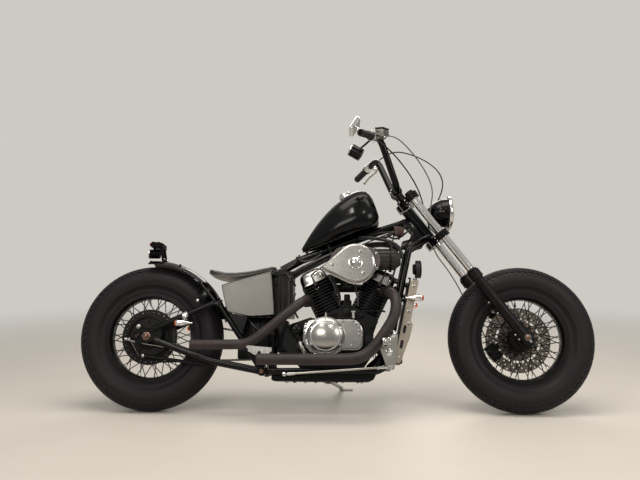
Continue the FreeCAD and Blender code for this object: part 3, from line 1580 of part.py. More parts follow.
def mudguard_struts(skin):
    struts = []
    for side in (-1, 1):
        angle = math.radians(guard_strut_angle)
        top = rear_axle() + around(guard_radius - guard_crown, angle,
                                   side * (guard_half_width + guard_strut_radius))
        foot = Vector(arm_node_x - arm_upper_radius, side * arm_half_spacing, arm_node_z)
        tab = rod(top, top - Vector(0, side * (guard_strut_radius + guard_thickness), 0), guard_strut_radius)
        struts.append(fused([rod(foot, top, guard_strut_radius), tab]))
    return loose(struts).cut(swingarm())


def tail_lamp():
    # A slanting lamp box on two legs, with a plain round housing under it that faces the rear
    rear_x = tail_lamp_x - tail_box_length
    top_z = tail_lamp_z + tail_box_height
    outline = [(rear_x, tail_lamp_z + tail_box_height / 4), (rear_x + tail_box_height / 4, top_z),
               (tail_lamp_x, top_z - tail_box_height / 4), (tail_lamp_x, tail_lamp_z)]
    box = plate(outline, -tail_lamp_half_width, tail_lamp_half_width)
    box = box.makeFillet(tail_box_height / 8, box.Edges)
    face = Vector(rear_x - tail_box_height / 4, 0, tail_lamp_z - tail_lamp_radius)
    inner = face + Vector(tail_box_length * tail_round_share, 0, 0)
    round_lamp = rod(face, inner, tail_lamp_radius)
    round_lamp = round_lamp.makeFillet(tail_lamp_radius / 4, round_lamp.Edges)
    link = rod(Vector(face.x + tail_lamp_radius, 0, face.z),
               Vector(face.x + tail_lamp_radius, 0, top_z - tail_box_height / 2), tail_leg_thickness)
    foot_z = tyre_radius + guard_radius - guard_crown
    legs = []
    for side in (-1, 1):
        y = side * tail_lamp_half_width * tail_leg_share
        legs.append(plate([(tail_lamp_x - tail_leg_width, tail_lamp_z + facing),
                           (tail_lamp_x - tail_leg_thickness / 2, tail_lamp_z + facing),
                           (tail_lamp_x + tail_leg_width, foot_z), (tail_lamp_x, foot_z)],
                          y - tail_leg_thickness / 2, y + tail_leg_thickness / 2))
    return fused([box, round_lamp, link] + legs).cut(guard_envelope())


def bullet(tip, back, radius):
    axis = back - tip
    nose = cone(tip, tip + axis * 0.55, radius * 0.25, radius)
    tail = rod(tip + axis * 0.55, back, radius)
    return fused([nose, tail])


def indicators():
    lamps = []
    for side in (-1, 1):
        rear = Vector(rear_indicator_x, side * rear_indicator_y, rear_indicator_z)
        lamp = bullet(rear, rear - Vector(indicator_length, 0, 0), indicator_radius)
        middle = rear - Vector(indicator_length / 2, 0, 0)
        tube_low, tube_high = upper_arm_ends(side)
        share = (middle.x - tube_low.x) / (tube_high.x - tube_low.x)
        stalk = rod(middle, tube_low + (tube_high - tube_low) * share, indicator_stalk_radius)
        lamps.append(fused([lamp, stalk]))
        front = Vector(front_indicator_x, side * front_indicator_y, front_indicator_z)
        lamp = bullet(front, front + Vector(indicator_length, 0, 0), indicator_radius)
        middle = front + Vector(indicator_length / 2, 0, 0)
        share = (middle.z - radiator_bottom_z) / (radiator_top_z - radiator_bottom_z)
        hold_x = radiator_bottom_x + (radiator_top_x - radiator_bottom_x) * share
        hold = Vector(hold_x, side * (radiator_half_width + radiator_cover_thickness / 2), middle.z)
        stalk = rod(middle, hold, indicator_stalk_radius)
        lamps.append(fused([lamp, stalk]))
    return loose(lamps).cut(swingarm()).cut(frame()).cut(radiator_covers())


# Radiator and horn
def radiator_outline(front_growth):
    return [(radiator_bottom_x - radiator_depth / 2, radiator_bottom_z),
            (radiator_bottom_x + radiator_depth / 2 + front_growth, radiator_bottom_z),
            (radiator_top_x + radiator_depth / 2 + front_growth, radiator_top_z),
            (radiator_top_x - radiator_depth / 2, radiator_top_z)]


def radiator_cover_outline():
    points = []
    for ahead, up in radiator_cover_shares:
        middle_x = radiator_bottom_x + (radiator_top_x - radiator_bottom_x) * up
        points.append((middle_x + radiator_depth * ahead,
                       radiator_bottom_z + (radiator_top_z - radiator_bottom_z) * up))
    return points


def radiator():
    core = plate(radiator_outline(0), -radiator_half_width, radiator_half_width)
    mounts = []
    for share in radiator_mount_shares:
        x = radiator_bottom_x + (radiator_top_x - radiator_bottom_x) * share
        z = radiator_bottom_z + (radiator_top_z - radiator_bottom_z) * share
        tube_x = cradle_front_x + (down_tube_shoulder_x - cradle_front_x) * (
            (z - cradle_front_z) / (down_tube_shoulder_z - cradle_front_z))
        for side in (-1, 1):
            y = side * (cradle_half_spacing + (down_tube_shoulder_y - cradle_half_spacing) * share)
            mounts.append(rod(Vector(tube_x, y, z), Vector(x, y, z), radiator_mount_radius))
    return fused([core] + mounts).cut(frame())


def radiator_covers():
    low = radiator_half_width
    high = low + radiator_cover_thickness
    cover = plate(radiator_cover_outline(), low, high)
    bottom = Vector(radiator_bottom_x, 0, radiator_bottom_z)
    rise = Vector(radiator_top_x, 0, radiator_top_z) - bottom
    for share, length in radiator_slot_shares:
        slot = capsule_plate(bottom + rise * (share - length / 2), bottom + rise * (share + length / 2),
                             radiator_slot_radius, radiator_slot_radius - pin_gap,
                             low - overrun, high + overrun)
        cover = cover.cut(slot)
    return loose(both_sides(cover))


def horn():
    centre = Vector(horn_x, 0, horn_z)
    dish = rod(centre - Vector(horn_depth / 2, 0, 0), centre + Vector(horn_depth / 2, 0, 0), horn_radius)
    stay = rod(centre - Vector(horn_depth / 2, 0, 0), Vector(horn_x - horn_depth / 2, 0, radiator_top_z),
               rod_radius)
    return fused([dish, stay]).cut(radiator())


# Footrests and linkage
def foot_controls():
    low = foot_plate_y
    high = foot_plate_y + foot_plate_thickness
    outline = []
    for across, up in foot_plate_outline_shares:
        outline.append((peg_x + foot_plate_half_width * across, peg_z + foot_plate_half_height * up))
    side_plate = plate(outline, low, high)
    peg = rod(Vector(peg_x, high, peg_z), Vector(peg_x, peg_end_y, peg_z), peg_radius)
    arm = rod(Vector(peg_x, high, peg_z), Vector(peg_x, high + overrun, peg_z), peg_radius * 1.3)
    spacer = rod(Vector(cradle_front_x + down_tube_radius, cradle_half_spacing, foot_mount_z),
                 Vector(cradle_front_x + down_tube_radius, low, foot_mount_z), peg_radius)
    shape = fused([side_plate, peg, arm, spacer])
    sides = loose(both_sides(shape)).fuse(brake_linkage())
    return sides.cut(frame()).cut(radiator_covers()).cut(radiator())


def brake_linkage():
    front = Vector(pedal_pivot_x, -rod_y, pedal_pivot_z)
    rear = Vector(rod_rear_x, -rod_y, rod_rear_z)
    end = rod(front, front + Vector(0, rod_y - foot_plate_y - foot_plate_thickness, 0), rod_radius * 1.5)
    anchor = rod(rear, Vector(rod_rear_x, -cradle_half_spacing, cradle_rear_z), rod_radius * 1.5)
    return fused([rod(front, rear, rod_radius), end, anchor]).cut(frame())


def belly_pan():
    outline = [(pan_rear_x, pan_top_z), (pan_sole_rear_x, pan_bottom_z), (pan_sole_front_x, pan_bottom_z),
               (pan_front_x, pan_top_z)]
    return plate(outline, -pan_half_width, pan_half_width).cut(frame())


def chain_path(distance, inset):
    # A point on the chain's run round the two sprockets, at a distance from the rear run's start
    rear_radius = sprocket_radius + chain_inner_gap - inset
    front_radius = drive_sprocket_radius - inset
    span = Vector(drive_sprocket_x, 0, drive_sprocket_z) - rear_axle()
    length = math.hypot(span.x, span.z)
    heading = math.atan2(span.z, span.x)
    spread = math.acos((rear_radius - front_radius) / length)
    straight = length * math.sin(spread)
    front_arc = front_radius * 2 * spread
    rear_arc = rear_radius * 2 * (math.pi - spread)
    total = straight * 2 + front_arc + rear_arc
    place = (distance % 1) * total
    across = heading - spread
    if place < rear_arc:
        angle = heading + spread + place / rear_radius
        return rear_axle() + around(rear_radius, angle, 0)
    place -= rear_arc
    if place < straight:
        start = rear_axle() + around(rear_radius, across, 0)
        end = start + (span + around(front_radius - rear_radius, across, 0))
        return start + (end - start) * (place / straight)
    place -= straight
    centre = rear_axle() + span
    if place < front_arc:
        return centre + around(front_radius, across + place / front_radius, 0)
    place -= front_arc
    across = heading + spread
    start = centre + around(front_radius, across, 0)
    end = rear_axle() + around(rear_radius, across, 0)
    return start + (end - start) * (place / straight)


def chain_outline(inset, waist):
    # One waisted link after another: wide at each pin and narrow halfway to the next
    points = []
    for index in range(chain_links):
        for share, depth in ((0, 0), (0.25, 0), (0.5, waist), (0.75, 0)):
            point = chain_path((index + share) / chain_links, inset + depth)
            points.append((point.x, point.z))
    return points


def drive_chain():
    low = sprocket_place - chain_width / 2
    high = sprocket_place + chain_width / 2
    outside = plate(chain_outline(-chain_height, chain_waist), low, high)
    inside = plate(chain_outline(0, -chain_waist), low - overrun, high + overrun)
    return outside.cut(inside)


# Side stand
def stand_pivot():
    return Vector(stand_pivot_x, stand_pivot_y, stand_pivot_z)


def stand_foot_centre():
    # The middle of the foot's sole, found on the leaned ground and brought back to the upright machine
    return lean_only().inverse().multVec(Vector(stand_foot_x, stand_foot_reach, 0))


def ground_up():
    return lean_only().inverse().Rotation.multVec(Vector(0, 0, 1))


def ground_side():
    return lean_only().inverse().Rotation.multVec(Vector(0, 1, 0))


def stand_axis():
    # Square to the leg where it stands and to where it lies when folded back along the machine
    leg = unit(stand_foot_centre() - stand_pivot())
    folded = Vector(-1, 0, 0)
    return unit(leg.cross(folded))


def side_stand():
    foot = stand_foot_centre()
    up = ground_up()
    side = ground_side()
    pad = Part.makeBox(stand_foot_length, stand_foot_width, stand_foot_thickness)
    pad.translate(Vector(-stand_foot_length / 2, -stand_foot_width / 2, 0))
    pad = at_place(pad, up, foot)
    ankle = foot + up * (stand_foot_thickness + stand_leg_radius)
    pivot = stand_pivot()
    leg = rod(ankle, pivot, stand_leg_radius)
    heel = rod(foot + up * (stand_foot_thickness / 2), ankle, stand_leg_radius)
    eye = rod(pivot - stand_axis() * stand_leg_radius, pivot + stand_axis() * stand_leg_radius,
              stand_leg_radius * 1.8)
    hole = rod(pivot - stand_axis() * overrun, pivot + stand_axis() * overrun, stand_pin_radius + pin_gap)
    return fused([pad, leg, heel, eye]).cut(hole)


def stand_lug():
    # The boss under the left rail, with the pin that the stand turns on and the pin's head
    pivot = stand_pivot()
    axis = stand_axis()
    half = stand_leg_radius + spacer_gap
    outer = pivot - axis * (half + stand_head_thickness)
    pin = rod(outer, pivot + axis * stand_boss_height, stand_pin_radius)
    head = rod(outer, pivot - axis * half, stand_head_radius)
    boss = rod(pivot + axis * half, pivot + axis * stand_boss_height, stand_boss_radius)
    return [pin, head, boss]


def build_nodes():
    return {
        "frame": frame(),
        "swingarm": swingarm(),
        "rear_axle": rear_axle_pin(),
        "rear_brake": fused([brake_panel(), torque_rod()]),
        "crankcase": crankcase(),
        "front_cylinder": cylinder(1),
        "rear_cylinder": cylinder(-1),
        "rocker_covers": loose([rocker_cover(1), rocker_cover(-1)]),
        "right_engine_cover": right_cover(),
        "clutch_cover": clutch_cover(),
        "water_pump": water_pump(),
        "left_engine_cover": left_cover(),
        "sprocket_cover": sprocket_cover().cut(left_cover()),
        "air_cleaner": air_cleaner(),
        "air_cleaner_back": air_cleaner_back(),
        "carburettor": carburettor(),
        "canister": canister(),
        "rear_exhaust": rear_pipe(),
        "front_exhaust": front_pipe(),
        "exhaust_hanger": pipe_hanger(),
        "fuel_tank": fuel_tank(),
        "seat": seat(),
        "side_covers": side_covers(),
        "battery_box": battery_box(),
        "rear_mudguard": rear_mudguard(),
        "tail_lamp": tail_lamp(),
        "indicators": indicators(),
        "radiator": radiator(),
        "radiator_covers": radiator_covers(),
        "horn": horn(),
        "foot_controls": foot_controls(),
        "belly_pan": belly_pan(),
        "drive_chain": drive_chain(),
        "fork_clamps": loose([lower_clamp(), fused([upper_clamp(), risers()])]),
        "fork_tubes": fork_tubes(),
        "fork_sliders": fork_sliders(),
        "handlebar": handlebar(),
        "grips": grips(),
        "brake_control": brake_control(),
        "control_cables": fork_cables(),
        "clutch_control": clutch_control(),
        "mirror": mirror(),
        "speedometer": speedometer(),
        "headlamp": headlamp(),
        "headlamp_lens": headlamp_lens(),
        "brake_caliper": brake_caliper(),
        "front_axle": front_axle_pin(),
        "front_tyre": tyre(front_axle()),
        "front_wheel": front_wire_wheel(),
        "front_disc": front_disc(),
        "rear_tyre": tyre(rear_axle()),
        "rear_wheel": rear_wire_wheel(),
        "rear_sprocket": rear_sprocket(),
        "side_stand": side_stand(),
    }


def main():
    os.makedirs("parts", exist_ok=True)
    leaned = lean()
    for name, shape in build_nodes().items():
        posed = shape.copy()
        posed.transformShape(leaned.toMatrix())
        solids = len(posed.Solids)
        print(name, "solids", solids, "valid", posed.isValid(), "volume", round(posed.Volume))
        posed.exportStep(os.path.join("parts", name + ".step"))


if __name__ == "__main__":
    main()
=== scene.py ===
import math
from types import SimpleNamespace

import bmesh
import bpy
from mathutils import Matrix, Vector


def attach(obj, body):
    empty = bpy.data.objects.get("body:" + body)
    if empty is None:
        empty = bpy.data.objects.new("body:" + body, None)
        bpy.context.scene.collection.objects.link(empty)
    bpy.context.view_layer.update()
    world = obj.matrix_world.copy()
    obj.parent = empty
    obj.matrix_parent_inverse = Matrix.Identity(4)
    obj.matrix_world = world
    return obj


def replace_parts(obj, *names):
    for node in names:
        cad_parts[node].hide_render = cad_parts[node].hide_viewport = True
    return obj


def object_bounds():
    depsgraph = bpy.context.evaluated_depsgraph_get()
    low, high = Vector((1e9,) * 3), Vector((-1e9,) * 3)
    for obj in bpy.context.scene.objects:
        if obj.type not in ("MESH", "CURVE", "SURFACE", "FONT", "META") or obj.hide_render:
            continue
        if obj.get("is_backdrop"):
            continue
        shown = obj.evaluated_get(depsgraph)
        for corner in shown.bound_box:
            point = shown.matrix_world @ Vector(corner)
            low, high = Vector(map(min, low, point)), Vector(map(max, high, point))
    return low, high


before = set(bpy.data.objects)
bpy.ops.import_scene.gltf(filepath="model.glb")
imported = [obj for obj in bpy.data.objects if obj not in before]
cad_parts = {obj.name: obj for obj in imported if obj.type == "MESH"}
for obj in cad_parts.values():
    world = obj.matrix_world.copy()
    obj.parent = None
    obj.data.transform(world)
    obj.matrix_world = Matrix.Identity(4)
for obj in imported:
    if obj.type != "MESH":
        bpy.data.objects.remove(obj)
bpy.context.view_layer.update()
scene = bpy.context.scene
print("frame loaded,", len(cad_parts), "nodes")

# Pieces are measured on the upright machine: millimetres forward, left and up from under the rear
# axle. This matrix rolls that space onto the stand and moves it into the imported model's frame.
stance = {"lean": 12.8, "tyreSection": 64, "behindMiddle": 892.5, "besideMiddle": 224.1}
leaned = (Matrix.Scale(0.001, 4)
          @ Matrix.Translation((-stance["behindMiddle"], -stance["besideMiddle"], stance["tyreSection"]))
          @ Matrix.Rotation(math.radians(-stance["lean"]), 4, "X")
          @ Matrix.Translation((0, 0, -stance["tyreSection"])))
rearAxle = Vector((0, 0, 350))
frontAxle = Vector((1785, 0, 350))
right, left = Vector((0, -1, 0)), Vector((0, 1, 0))
ahead, up = Vector((1, 0, 0)), Vector((0, 0, 1))

# The camera stands where the photograph was taken
view = {"place": (0.0305, -3.6781, 0.880), "tilt": -0.94, "turn": 1.70, "lens": 40.87}
camera = bpy.data.objects.new("camera", bpy.data.cameras.new("camera"))
camera.location = view["place"]
camera.rotation_euler = (math.radians(90 + view["tilt"]), 0, math.radians(view["turn"]))
camera.data.lens = view["lens"]
camera.data.sensor_width = 36
scene.collection.objects.link(camera)
scene.camera = camera
scene.view_settings.view_transform = "Standard"


def linear(hexColour):
    # sRGB hex to the linear values that a shader works in
    shares = [int(hexColour[index:index + 2], 16) / 255 for index in (1, 3, 5)]
    return [share / 12.92 if share <= 0.04045 else ((share + 0.055) / 1.055) ** 2.4 for share in shares] + [1]


def addNode(tree, kind, settings=None, links=None):
    # settings go to a socket where the node has one of that name or number, and to the node itself otherwise
    node = tree.nodes.new("ShaderNode" + kind)
    for key, value in (settings or {}).items():
        if isinstance(key, int) or key in node.inputs:
            node.inputs[key].default_value = value
        else:
            setattr(node, key, value)
    for key, socket in (links or {}).items():
        tree.links.new(socket, node.inputs[key])
    return node


stageLook = {"floorRadius": 9.0, "floor": "#d9d3cb", "backdrop": "#cdcac4", "fadeFrom": 1.7, "fadeTo": 5.5,
             "worldStrength": 0.62, "reflectLow": "#8f8a84", "reflectHigh": "#c4c2be"}
world = bpy.data.worlds.new("studio")
scene.world = world
world.use_nodes = True
tree = world.node_tree
tree.nodes.clear()
path = addNode(tree, "LightPath")
heading = addNode(tree, "TexCoord")
rise = addNode(tree, "SeparateXYZ", links={0: heading.outputs["Generated"]})
height = addNode(tree, "MapRange", {"From Min": -0.25, "From Max": 0.6, "interpolation_type": "SMOOTHSTEP"},
                 {"Value": rise.outputs["Z"]})
walls = addNode(tree, "Mix", {"data_type": "RGBA", 6: linear(stageLook["reflectLow"]),
                              7: linear(stageLook["reflectHigh"])}, {0: height.outputs[0]})
isSeen = addNode(tree, "Math", {"operation": "MAXIMUM"},
                 {0: path.outputs["Is Camera Ray"], 1: path.outputs["Is Transmission Ray"]})
ambient = addNode(tree, "Background", {"Strength": stageLook["worldStrength"]}, {"Color": walls.outputs[2]})
mirrored = addNode(tree, "Background", {"Strength": 1.0}, {"Color": walls.outputs[2]})
seen = addNode(tree, "Background", {"Color": linear(stageLook["backdrop"]), "Strength": 1.0})
byGloss = addNode(tree, "MixShader", links={0: path.outputs["Is Glossy Ray"], 1: ambient.outputs[0],
                                            2: mirrored.outputs[0]})
bySight = addNode(tree, "MixShader", links={0: isSeen.outputs[0], 1: byGloss.outputs[0], 2: seen.outputs[0]})
addNode(tree, "OutputWorld", links={0: bySight.outputs[0]})

lamps = {"overhead": {"place": (0.1, -0.5, 3.1), "aim": (0, -0.1, 0.3), "size": (3.2, 1.3), "power": 62},
         "rightSide": {"place": (-1.2, -3.6, 2.3), "aim": (0, 0, 0.5), "size": (1.6, 1.0), "power": 34},
         "frontSide": {"place": (2.6, -2.2, 2.0), "aim": (0.2, 0, 0.5), "size": (1.2, 1.0), "power": 26},
         "leftSide": {"place": (0.4, 3.4, 2.4), "aim": (0, 0, 0.5), "size": (2.4, 1.2), "power": 40},
         "smallRear": {"place": (-0.7, -1.9, 2.9), "aim": (-0.1, 0, 0.5), "size": (0.26, 0.26), "power": 6},
         "smallFront": {"place": (0.9, -2.1, 2.8), "aim": (0.1, 0, 0.5), "size": (0.26, 0.26), "power": 6}}
for name, lamp in lamps.items():
    light = bpy.data.lights.new(name, "AREA")
    light.shape = "RECTANGLE"
    light.size, light.size_y = lamp["size"]
    light.energy = lamp["power"]
    light.color = linear("#fffaf2")[:3]
    holder = bpy.data.objects.new(name, light)
    holder.location = lamp["place"]
    toAim = Vector(lamp["aim"]) - Vector(lamp["place"])
    holder.rotation_euler = toAim.to_track_quat("-Z", "Y").to_euler()
    scene.collection.objects.link(holder)

floorMesh = bmesh.new()
bmesh.ops.create_circle(floorMesh, cap_ends=True, segments=96, radius=stageLook["floorRadius"])
floorData = bpy.data.meshes.new("floor")
floorMesh.to_mesh(floorData)
floorMesh.free()
floor = bpy.data.objects.new("floor", floorData)
scene.collection.objects.link(floor)
paleFloor = bpy.data.materials.new("paleSealedConcrete")
paleFloor.use_nodes = True
tree = paleFloor.node_tree
tree.nodes.clear()
place = addNode(tree, "TexCoord")
mottle = addNode(tree, "TexNoise", {"Scale": 2.5, "Detail": 5.0, "Roughness": 0.6}, {0: place.outputs["Object"]})
floorColour = addNode(tree, "Mix", {"data_type": "RGBA", 6: linear("#d2ccc3"), 7: linear(stageLook["floor"])},
                      {0: mottle.outputs[0]})
painted = addNode(tree, "BsdfPrincipled", {"Roughness": 0.55, "Specular IOR Level": 0.25},
                  {"Base Color": floorColour.outputs[2]})
far = addNode(tree, "VectorMath", {"operation": "LENGTH"}, {0: place.outputs["Object"]})
fade = addNode(tree, "MapRange", {"From Min": stageLook["fadeFrom"], "From Max": stageLook["fadeTo"],
                                  "interpolation_type": "SMOOTHSTEP"}, {"Value": far.outputs["Value"]})
haze = addNode(tree, "Emission", {"Color": linear(stageLook["backdrop"])})
faded = addNode(tree, "MixShader", links={0: fade.outputs[0], 1: painted.outputs[0], 2: haze.outputs[0]})
addNode(tree, "OutputMaterial", links={0: faded.outputs[0]})
floorData.materials.append(paleFloor)
floor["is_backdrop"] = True
print("camera, floor and lamps placed")


# Finishes, each named for the real one
def newLook(name, settings):
    # An empty material with its shader, and object coordinates that are metres in the model's frame
    material = bpy.data.materials.new(name)
    material.use_nodes = True
    tree = material.node_tree
    tree.nodes.clear()
    shader = addNode(tree, "BsdfPrincipled", settings)
    addNode(tree, "OutputMaterial", links={0: shader.outputs[0]})
    return SimpleNamespace(material=material, tree=tree, shader=shader,
                           coords=addNode(tree, "TexCoord").outputs["Object"])


def noise(look, cell, detail, roughness=0.5, distortion=0.0):
    # Cloudy patches whose cells are this many millimetres wide
    return addNode(look.tree, "TexNoise", {"Scale": 1000 / cell, "Detail": detail, "Roughness": roughness,
                                           "Distortion": distortion}, {0: look.coords}).outputs[0]


def tint(look, first, second, factor):
    # The base colour goes between two hex colours with a factor socket
    mixed = addNode(look.tree, "Mix", {"data_type": "RGBA", 6: linear(first), 7: linear(second)}, {0: factor})
    look.tree.links.new(mixed.outputs[2], look.shader.inputs["Base Color"])


def spread(look, factor, low, high):
    # The roughness goes between low and high with a factor socket
    ranged = addNode(look.tree, "MapRange", {"From Min": 0.3, "From Max": 0.7, "To Min": low, "To Max": high},
                     {"Value": factor})
    look.tree.links.new(ranged.outputs[0], look.shader.inputs["Roughness"])


def relief(look, height, depth):
    # Surface relief of a depth in millimetres
    bump = addNode(look.tree, "Bump", {"Strength": 1.0, "Distance": depth / 1000}, {"Height": height})
    look.tree.links.new(bump.outputs[0], look.shader.inputs["Normal"])


def coated(name, settings, colours, roughness, patches, grain=None):
    # Colour and roughness drift over patches: the cell, detail and roughness of a noise. A grain of its own
    # cell, detail and depth may be raised on top
    look = newLook(name, settings)
    cloud = noise(look, *patches)
    tint(look, *colours, cloud)
    spread(look, cloud, *roughness)
    if grain:
        cell, detail, depth = grain
        relief(look, noise(look, cell, detail), depth)
    return look


def paintedSatin(name, first, second, low, high, grain, shine=0.16):
    # Baked satin black: an even sheen with a fine grain from the powder
    return coated(name, {"IOR": 1.5, "Specular IOR Level": shine}, (first, second), (low, high), (45, 5.0, 0.6),
                  (grain, 2.0, 0.08))


def heatPaint():
    # Silicone heat paint baked brown by the pipes: matt, warm patches 60 mm across, a dry fine grain
    look = newLook("bakedHeatPaint", {"IOR": 1.5, "Specular IOR Level": 0.26, "Sheen Weight": 0.04})
    patches = noise(look, 60, 4.0, 0.55)
    both = addNode(look.tree, "Math", {"operation": "MULTIPLY"}, {0: patches, 1: noise(look, 9, 5.0, 0.7)})
    ranged = addNode(look.tree, "MapRange", {"From Min": 0.12, "From Max": 0.42}, {"Value": both.outputs[0]})
    tint(look, "#211b1c", "#3a302f", ranged.outputs[0])
    spread(look, patches, 0.38, 0.52)
    relief(look, noise(look, 1.6, 3.0), 0.05)
    return look


def chromePlate(name, first, second, low, high, depth=0.03):
    # Bright metal over polished steel: a near mirror with wiping haze and a slow swell
    return coated(name, {"Metallic": 1.0}, (first, second), (low, high), (38, 6.0, 0.7, 0.6), (24, 1.0, depth))


def workedMetal(name, first, second, stretch, low, high, depth=0.03):
    # Bare metal: fine parallel scratches drawn by a stretched noise, about 1 mm apart to show
    look = newLook(name, {"Metallic": 1.0})
    cloud = noise(look, 50, 3.0)
    look.coords = addNode(look.tree, "Mapping", {"Scale": stretch}, {0: look.coords}).outputs[0]
    scratches = noise(look, 1.2, 4.0, 0.7)
    both = addNode(look.tree, "Mix", {0: 0.5}, {2: scratches, 3: cloud}).outputs[0]
    tint(look, first, second, both)
    spread(look, both, low, high)
    relief(look, scratches, depth)
    return look


def turnedSteel(name, centre, first, second, low, high, ringWidth):
    # Steel faced on a lathe: rings about the wheel's own axle, dulled and browned by heat and brake dust
    look = coated(name, {"Metallic": 1.0}, (first, second), (low, high), (26, 6.0, 0.7))
    centred = addNode(look.tree, "Mapping", {"vector_type": "TEXTURE", "Location": leaned @ centre,
                                             "Rotation": (math.radians(-stance["lean"]), 0, 0)}, {0: look.coords})
    rings = addNode(look.tree, "TexWave", {"wave_type": "RINGS", "rings_direction": "Y", "Distortion": 1.2,
                                           "Scale": waveScale(ringWidth), "Detail": 3.0}, {0: centred.outputs[0]})
    relief(look, rings.outputs[0], 0.04)
    return look


def waveScale(millimetres):
    # A wave texture's scale for bands this wide
    return 1000 / millimetres / 20


def softRubber(name, first, second, roughness):
    # Moulded rubber or PVC sheath, dull black with handling wear
    return coated(name, {"IOR": 1.5, "Specular IOR Level": 0.4}, (first, second),
                  (roughness - 0.08, roughness + 0.08), (12, 5.0))


def cells(look, cell, feature, depth):
    # Pits or leather cells this many millimetres wide
    pits = addNode(look.tree, "TexVoronoi", {"Scale": 1000 / cell, "feature": feature}, {0: look.coords})
    relief(look, pits.outputs["Distance"], depth)
    return look


def mouldedPlastic(name, first, second, roughness):
    # Moulded ABS with a spark-eroded grain
    return cells(coated(name, {"IOR": 1.46, "Specular IOR Level": 0.45}, (first, second),
                        (roughness - 0.06, roughness + 0.06), (30, 4.0)), 1.2, "F1", 0.04)


def clearLens(name, colour, roughness, fluteDepth=0.05):
    # Moulded lamp plastic or glass: light goes through and is tinted by the colour
    look = newLook(name, {"IOR": 1.49, "Transmission Weight": 0.75, "Roughness": roughness, "Coat Weight": 0.4})
    tint(look, colour, colour, noise(look, 20, 2.0))
    flutes = addNode(look.tree, "TexWave", {"bands_direction": "Y", "Scale": waveScale(7)}, {0: look.coords})
    relief(look, flutes.outputs[0], fluteDepth)
    return look


looks = {
    # Two-pack black paint over steel: wet reflections, a faint orange peel 5 mm wide, a little dust
    "gloss": coated("blackTwoPackPaint", {"IOR": 1.5, "Coat Weight": 0.14, "Coat Roughness": 0.03,
                                          "Specular IOR Level": 0.13},
                    ("#030304", "#09090a"), (0.12, 0.26), (70, 6.0, 0.65), (5, 1.0, 0.02)),
    "satin": paintedSatin("satinBlackPowderCoat", "#080808", "#0f0e0f", 0.32, 0.46, 1.4),
    "casting": paintedSatin("blackPaintedCasting", "#070708", "#101012", 0.34, 0.5, 2.2),
    "backPlate": paintedSatin("brownGreySatinPaint", "#4d4547", "#625a5a", 0.36, 0.48, 1.4),
    "canister": paintedSatin("brownBlackSatinPaint", "#2d2a27", "#3c3835", 0.34, 0.46, 1.4),
    "lampPaint": paintedSatin("mattBlackLampPaint", "#060506", "#0c0a0c", 0.42, 0.56, 1.4, 0.06),
    "heat": heatPaint(),
    "chrome": chromePlate("brightChromePlate", "#c9c8c6", "#dedddb", 0.05, 0.13),
    "engineCover": chromePlate("polishedEngineCover", "#a29f9c", "#acaaa6", 0.22, 0.26, 0.006),
    "brushed": workedMetal("brushedAluminiumSheet", "#5a5957", "#73726f", (0.06, 1, 1), 0.32, 0.46),
    "polished": workedMetal("polishedAluminiumPlate", "#a5a39c", "#c4c1ba", (1, 1, 0.2), 0.12, 0.24),
    # Satin rolled aluminium: the warm beige tint in its colour is a painted reflection of the pale floor, over the
    # metal's own grey
    "aluminiumWithPaintedFloorReflection": workedMetal("satinAluminiumWithPaintedFloorReflection", "#968d80", "#aea598", (1, 1, 0.2), 0.34, 0.46),
    "castAluminium": workedMetal("castAluminium", "#615f5b", "#8a8883", (1, 1, 1), 0.34, 0.5, 0.1),
    "seatSheet": workedMetal("rubbedSeatSheet", "#4d4943", "#6f6a61", (0.1, 1, 1), 0.34, 0.48),
    "zinc": workedMetal("zincPlatedSteel", "#8d8c88", "#bdbcb8", (1, 1, 1), 0.2, 0.36),
    "chain": workedMetal("oiledChainSteel", "#3e3a36", "#75706a", (1, 1, 1), 0.28, 0.44),
    "copperedSteel": workedMetal("copperedSteel", "#5b4438", "#8d7163", (1, 1, 1), 0.24, 0.4),
    "frontSteel": turnedSteel("frontDiscSteel", frontAxle, "#5a524b", "#978d84", 0.26, 0.42, 3),
    "rearSteel": turnedSteel("sprocketSteel", rearAxle, "#4b4642", "#7a746e", 0.32, 0.48, 3),
    # Carbon-black rubber, matt with a grey bloom, and a faint moulding grain
    "tyre": coated("blackTyreRubber", {"IOR": 1.52, "Specular IOR Level": 0.24, "Sheen Weight": 0.05,
                                       "Sheen Roughness": 0.45},
                   ("#0d0a0d", "#171217"), (0.5, 0.68), (80, 6.0, 0.6), (1.5, 3.0, 0.06)),
    "grip": softRubber("mouldedGripRubber", "#101010", "#1c1b1b", 0.6),
    "sheath": softRubber("blackCableSheath", "#0d0d0e", "#19191a", 0.38),
    "hose": softRubber("brownGreyHose", "#4c4541", "#6d645e", 0.42),
    # Thin black vinyl over foam: leather grain cells 2 mm wide, soft sheen, slightly rubbed on top
    "vinyl": cells(coated("blackGrainedVinyl", {"IOR": 1.5, "Specular IOR Level": 0.45, "Sheen Weight": 0.15},
                          ("#121113", "#201e20"), (0.38, 0.55), (55, 5.0)), 2.2, "SMOOTH_F1", 0.25),
    "plastic": mouldedPlastic("mouldedBlackPlastic", "#111112", "#1b1b1c", 0.46),
    "coil": mouldedPlastic("ochreIgnitionCoil", "#260f0c", "#3a1813", 0.4),
    "glass": clearLens("clearLampGlass", "#f4f6f6", 0.03),
    "fluted": clearLens("flutedLampGlass", "#f4f6f6", 0.04, 0.5),
    "amber": clearLens("amberLampPlastic", "#f06a12", 0.12),
    "red": clearLens("redLampPlastic", "#c01414", 0.15),
    # Float glass silvered on its back: a clean mirror with faint water marks
    "mirror": coated("silveredMirrorGlass", {"Metallic": 1.0}, ("#c8cccd", "#d6dadb"), (0.02, 0.06), (30, 5.0)),
    # Screen-printed dial ink, matt off-white
    "whiteInk": coated("whiteDialInk", {"IOR": 1.5}, ("#cfcec8", "#e2e1dc"), (0.45, 0.6), (4, 3.0)),
}
finish = {name: look.material for name, look in looks.items()}

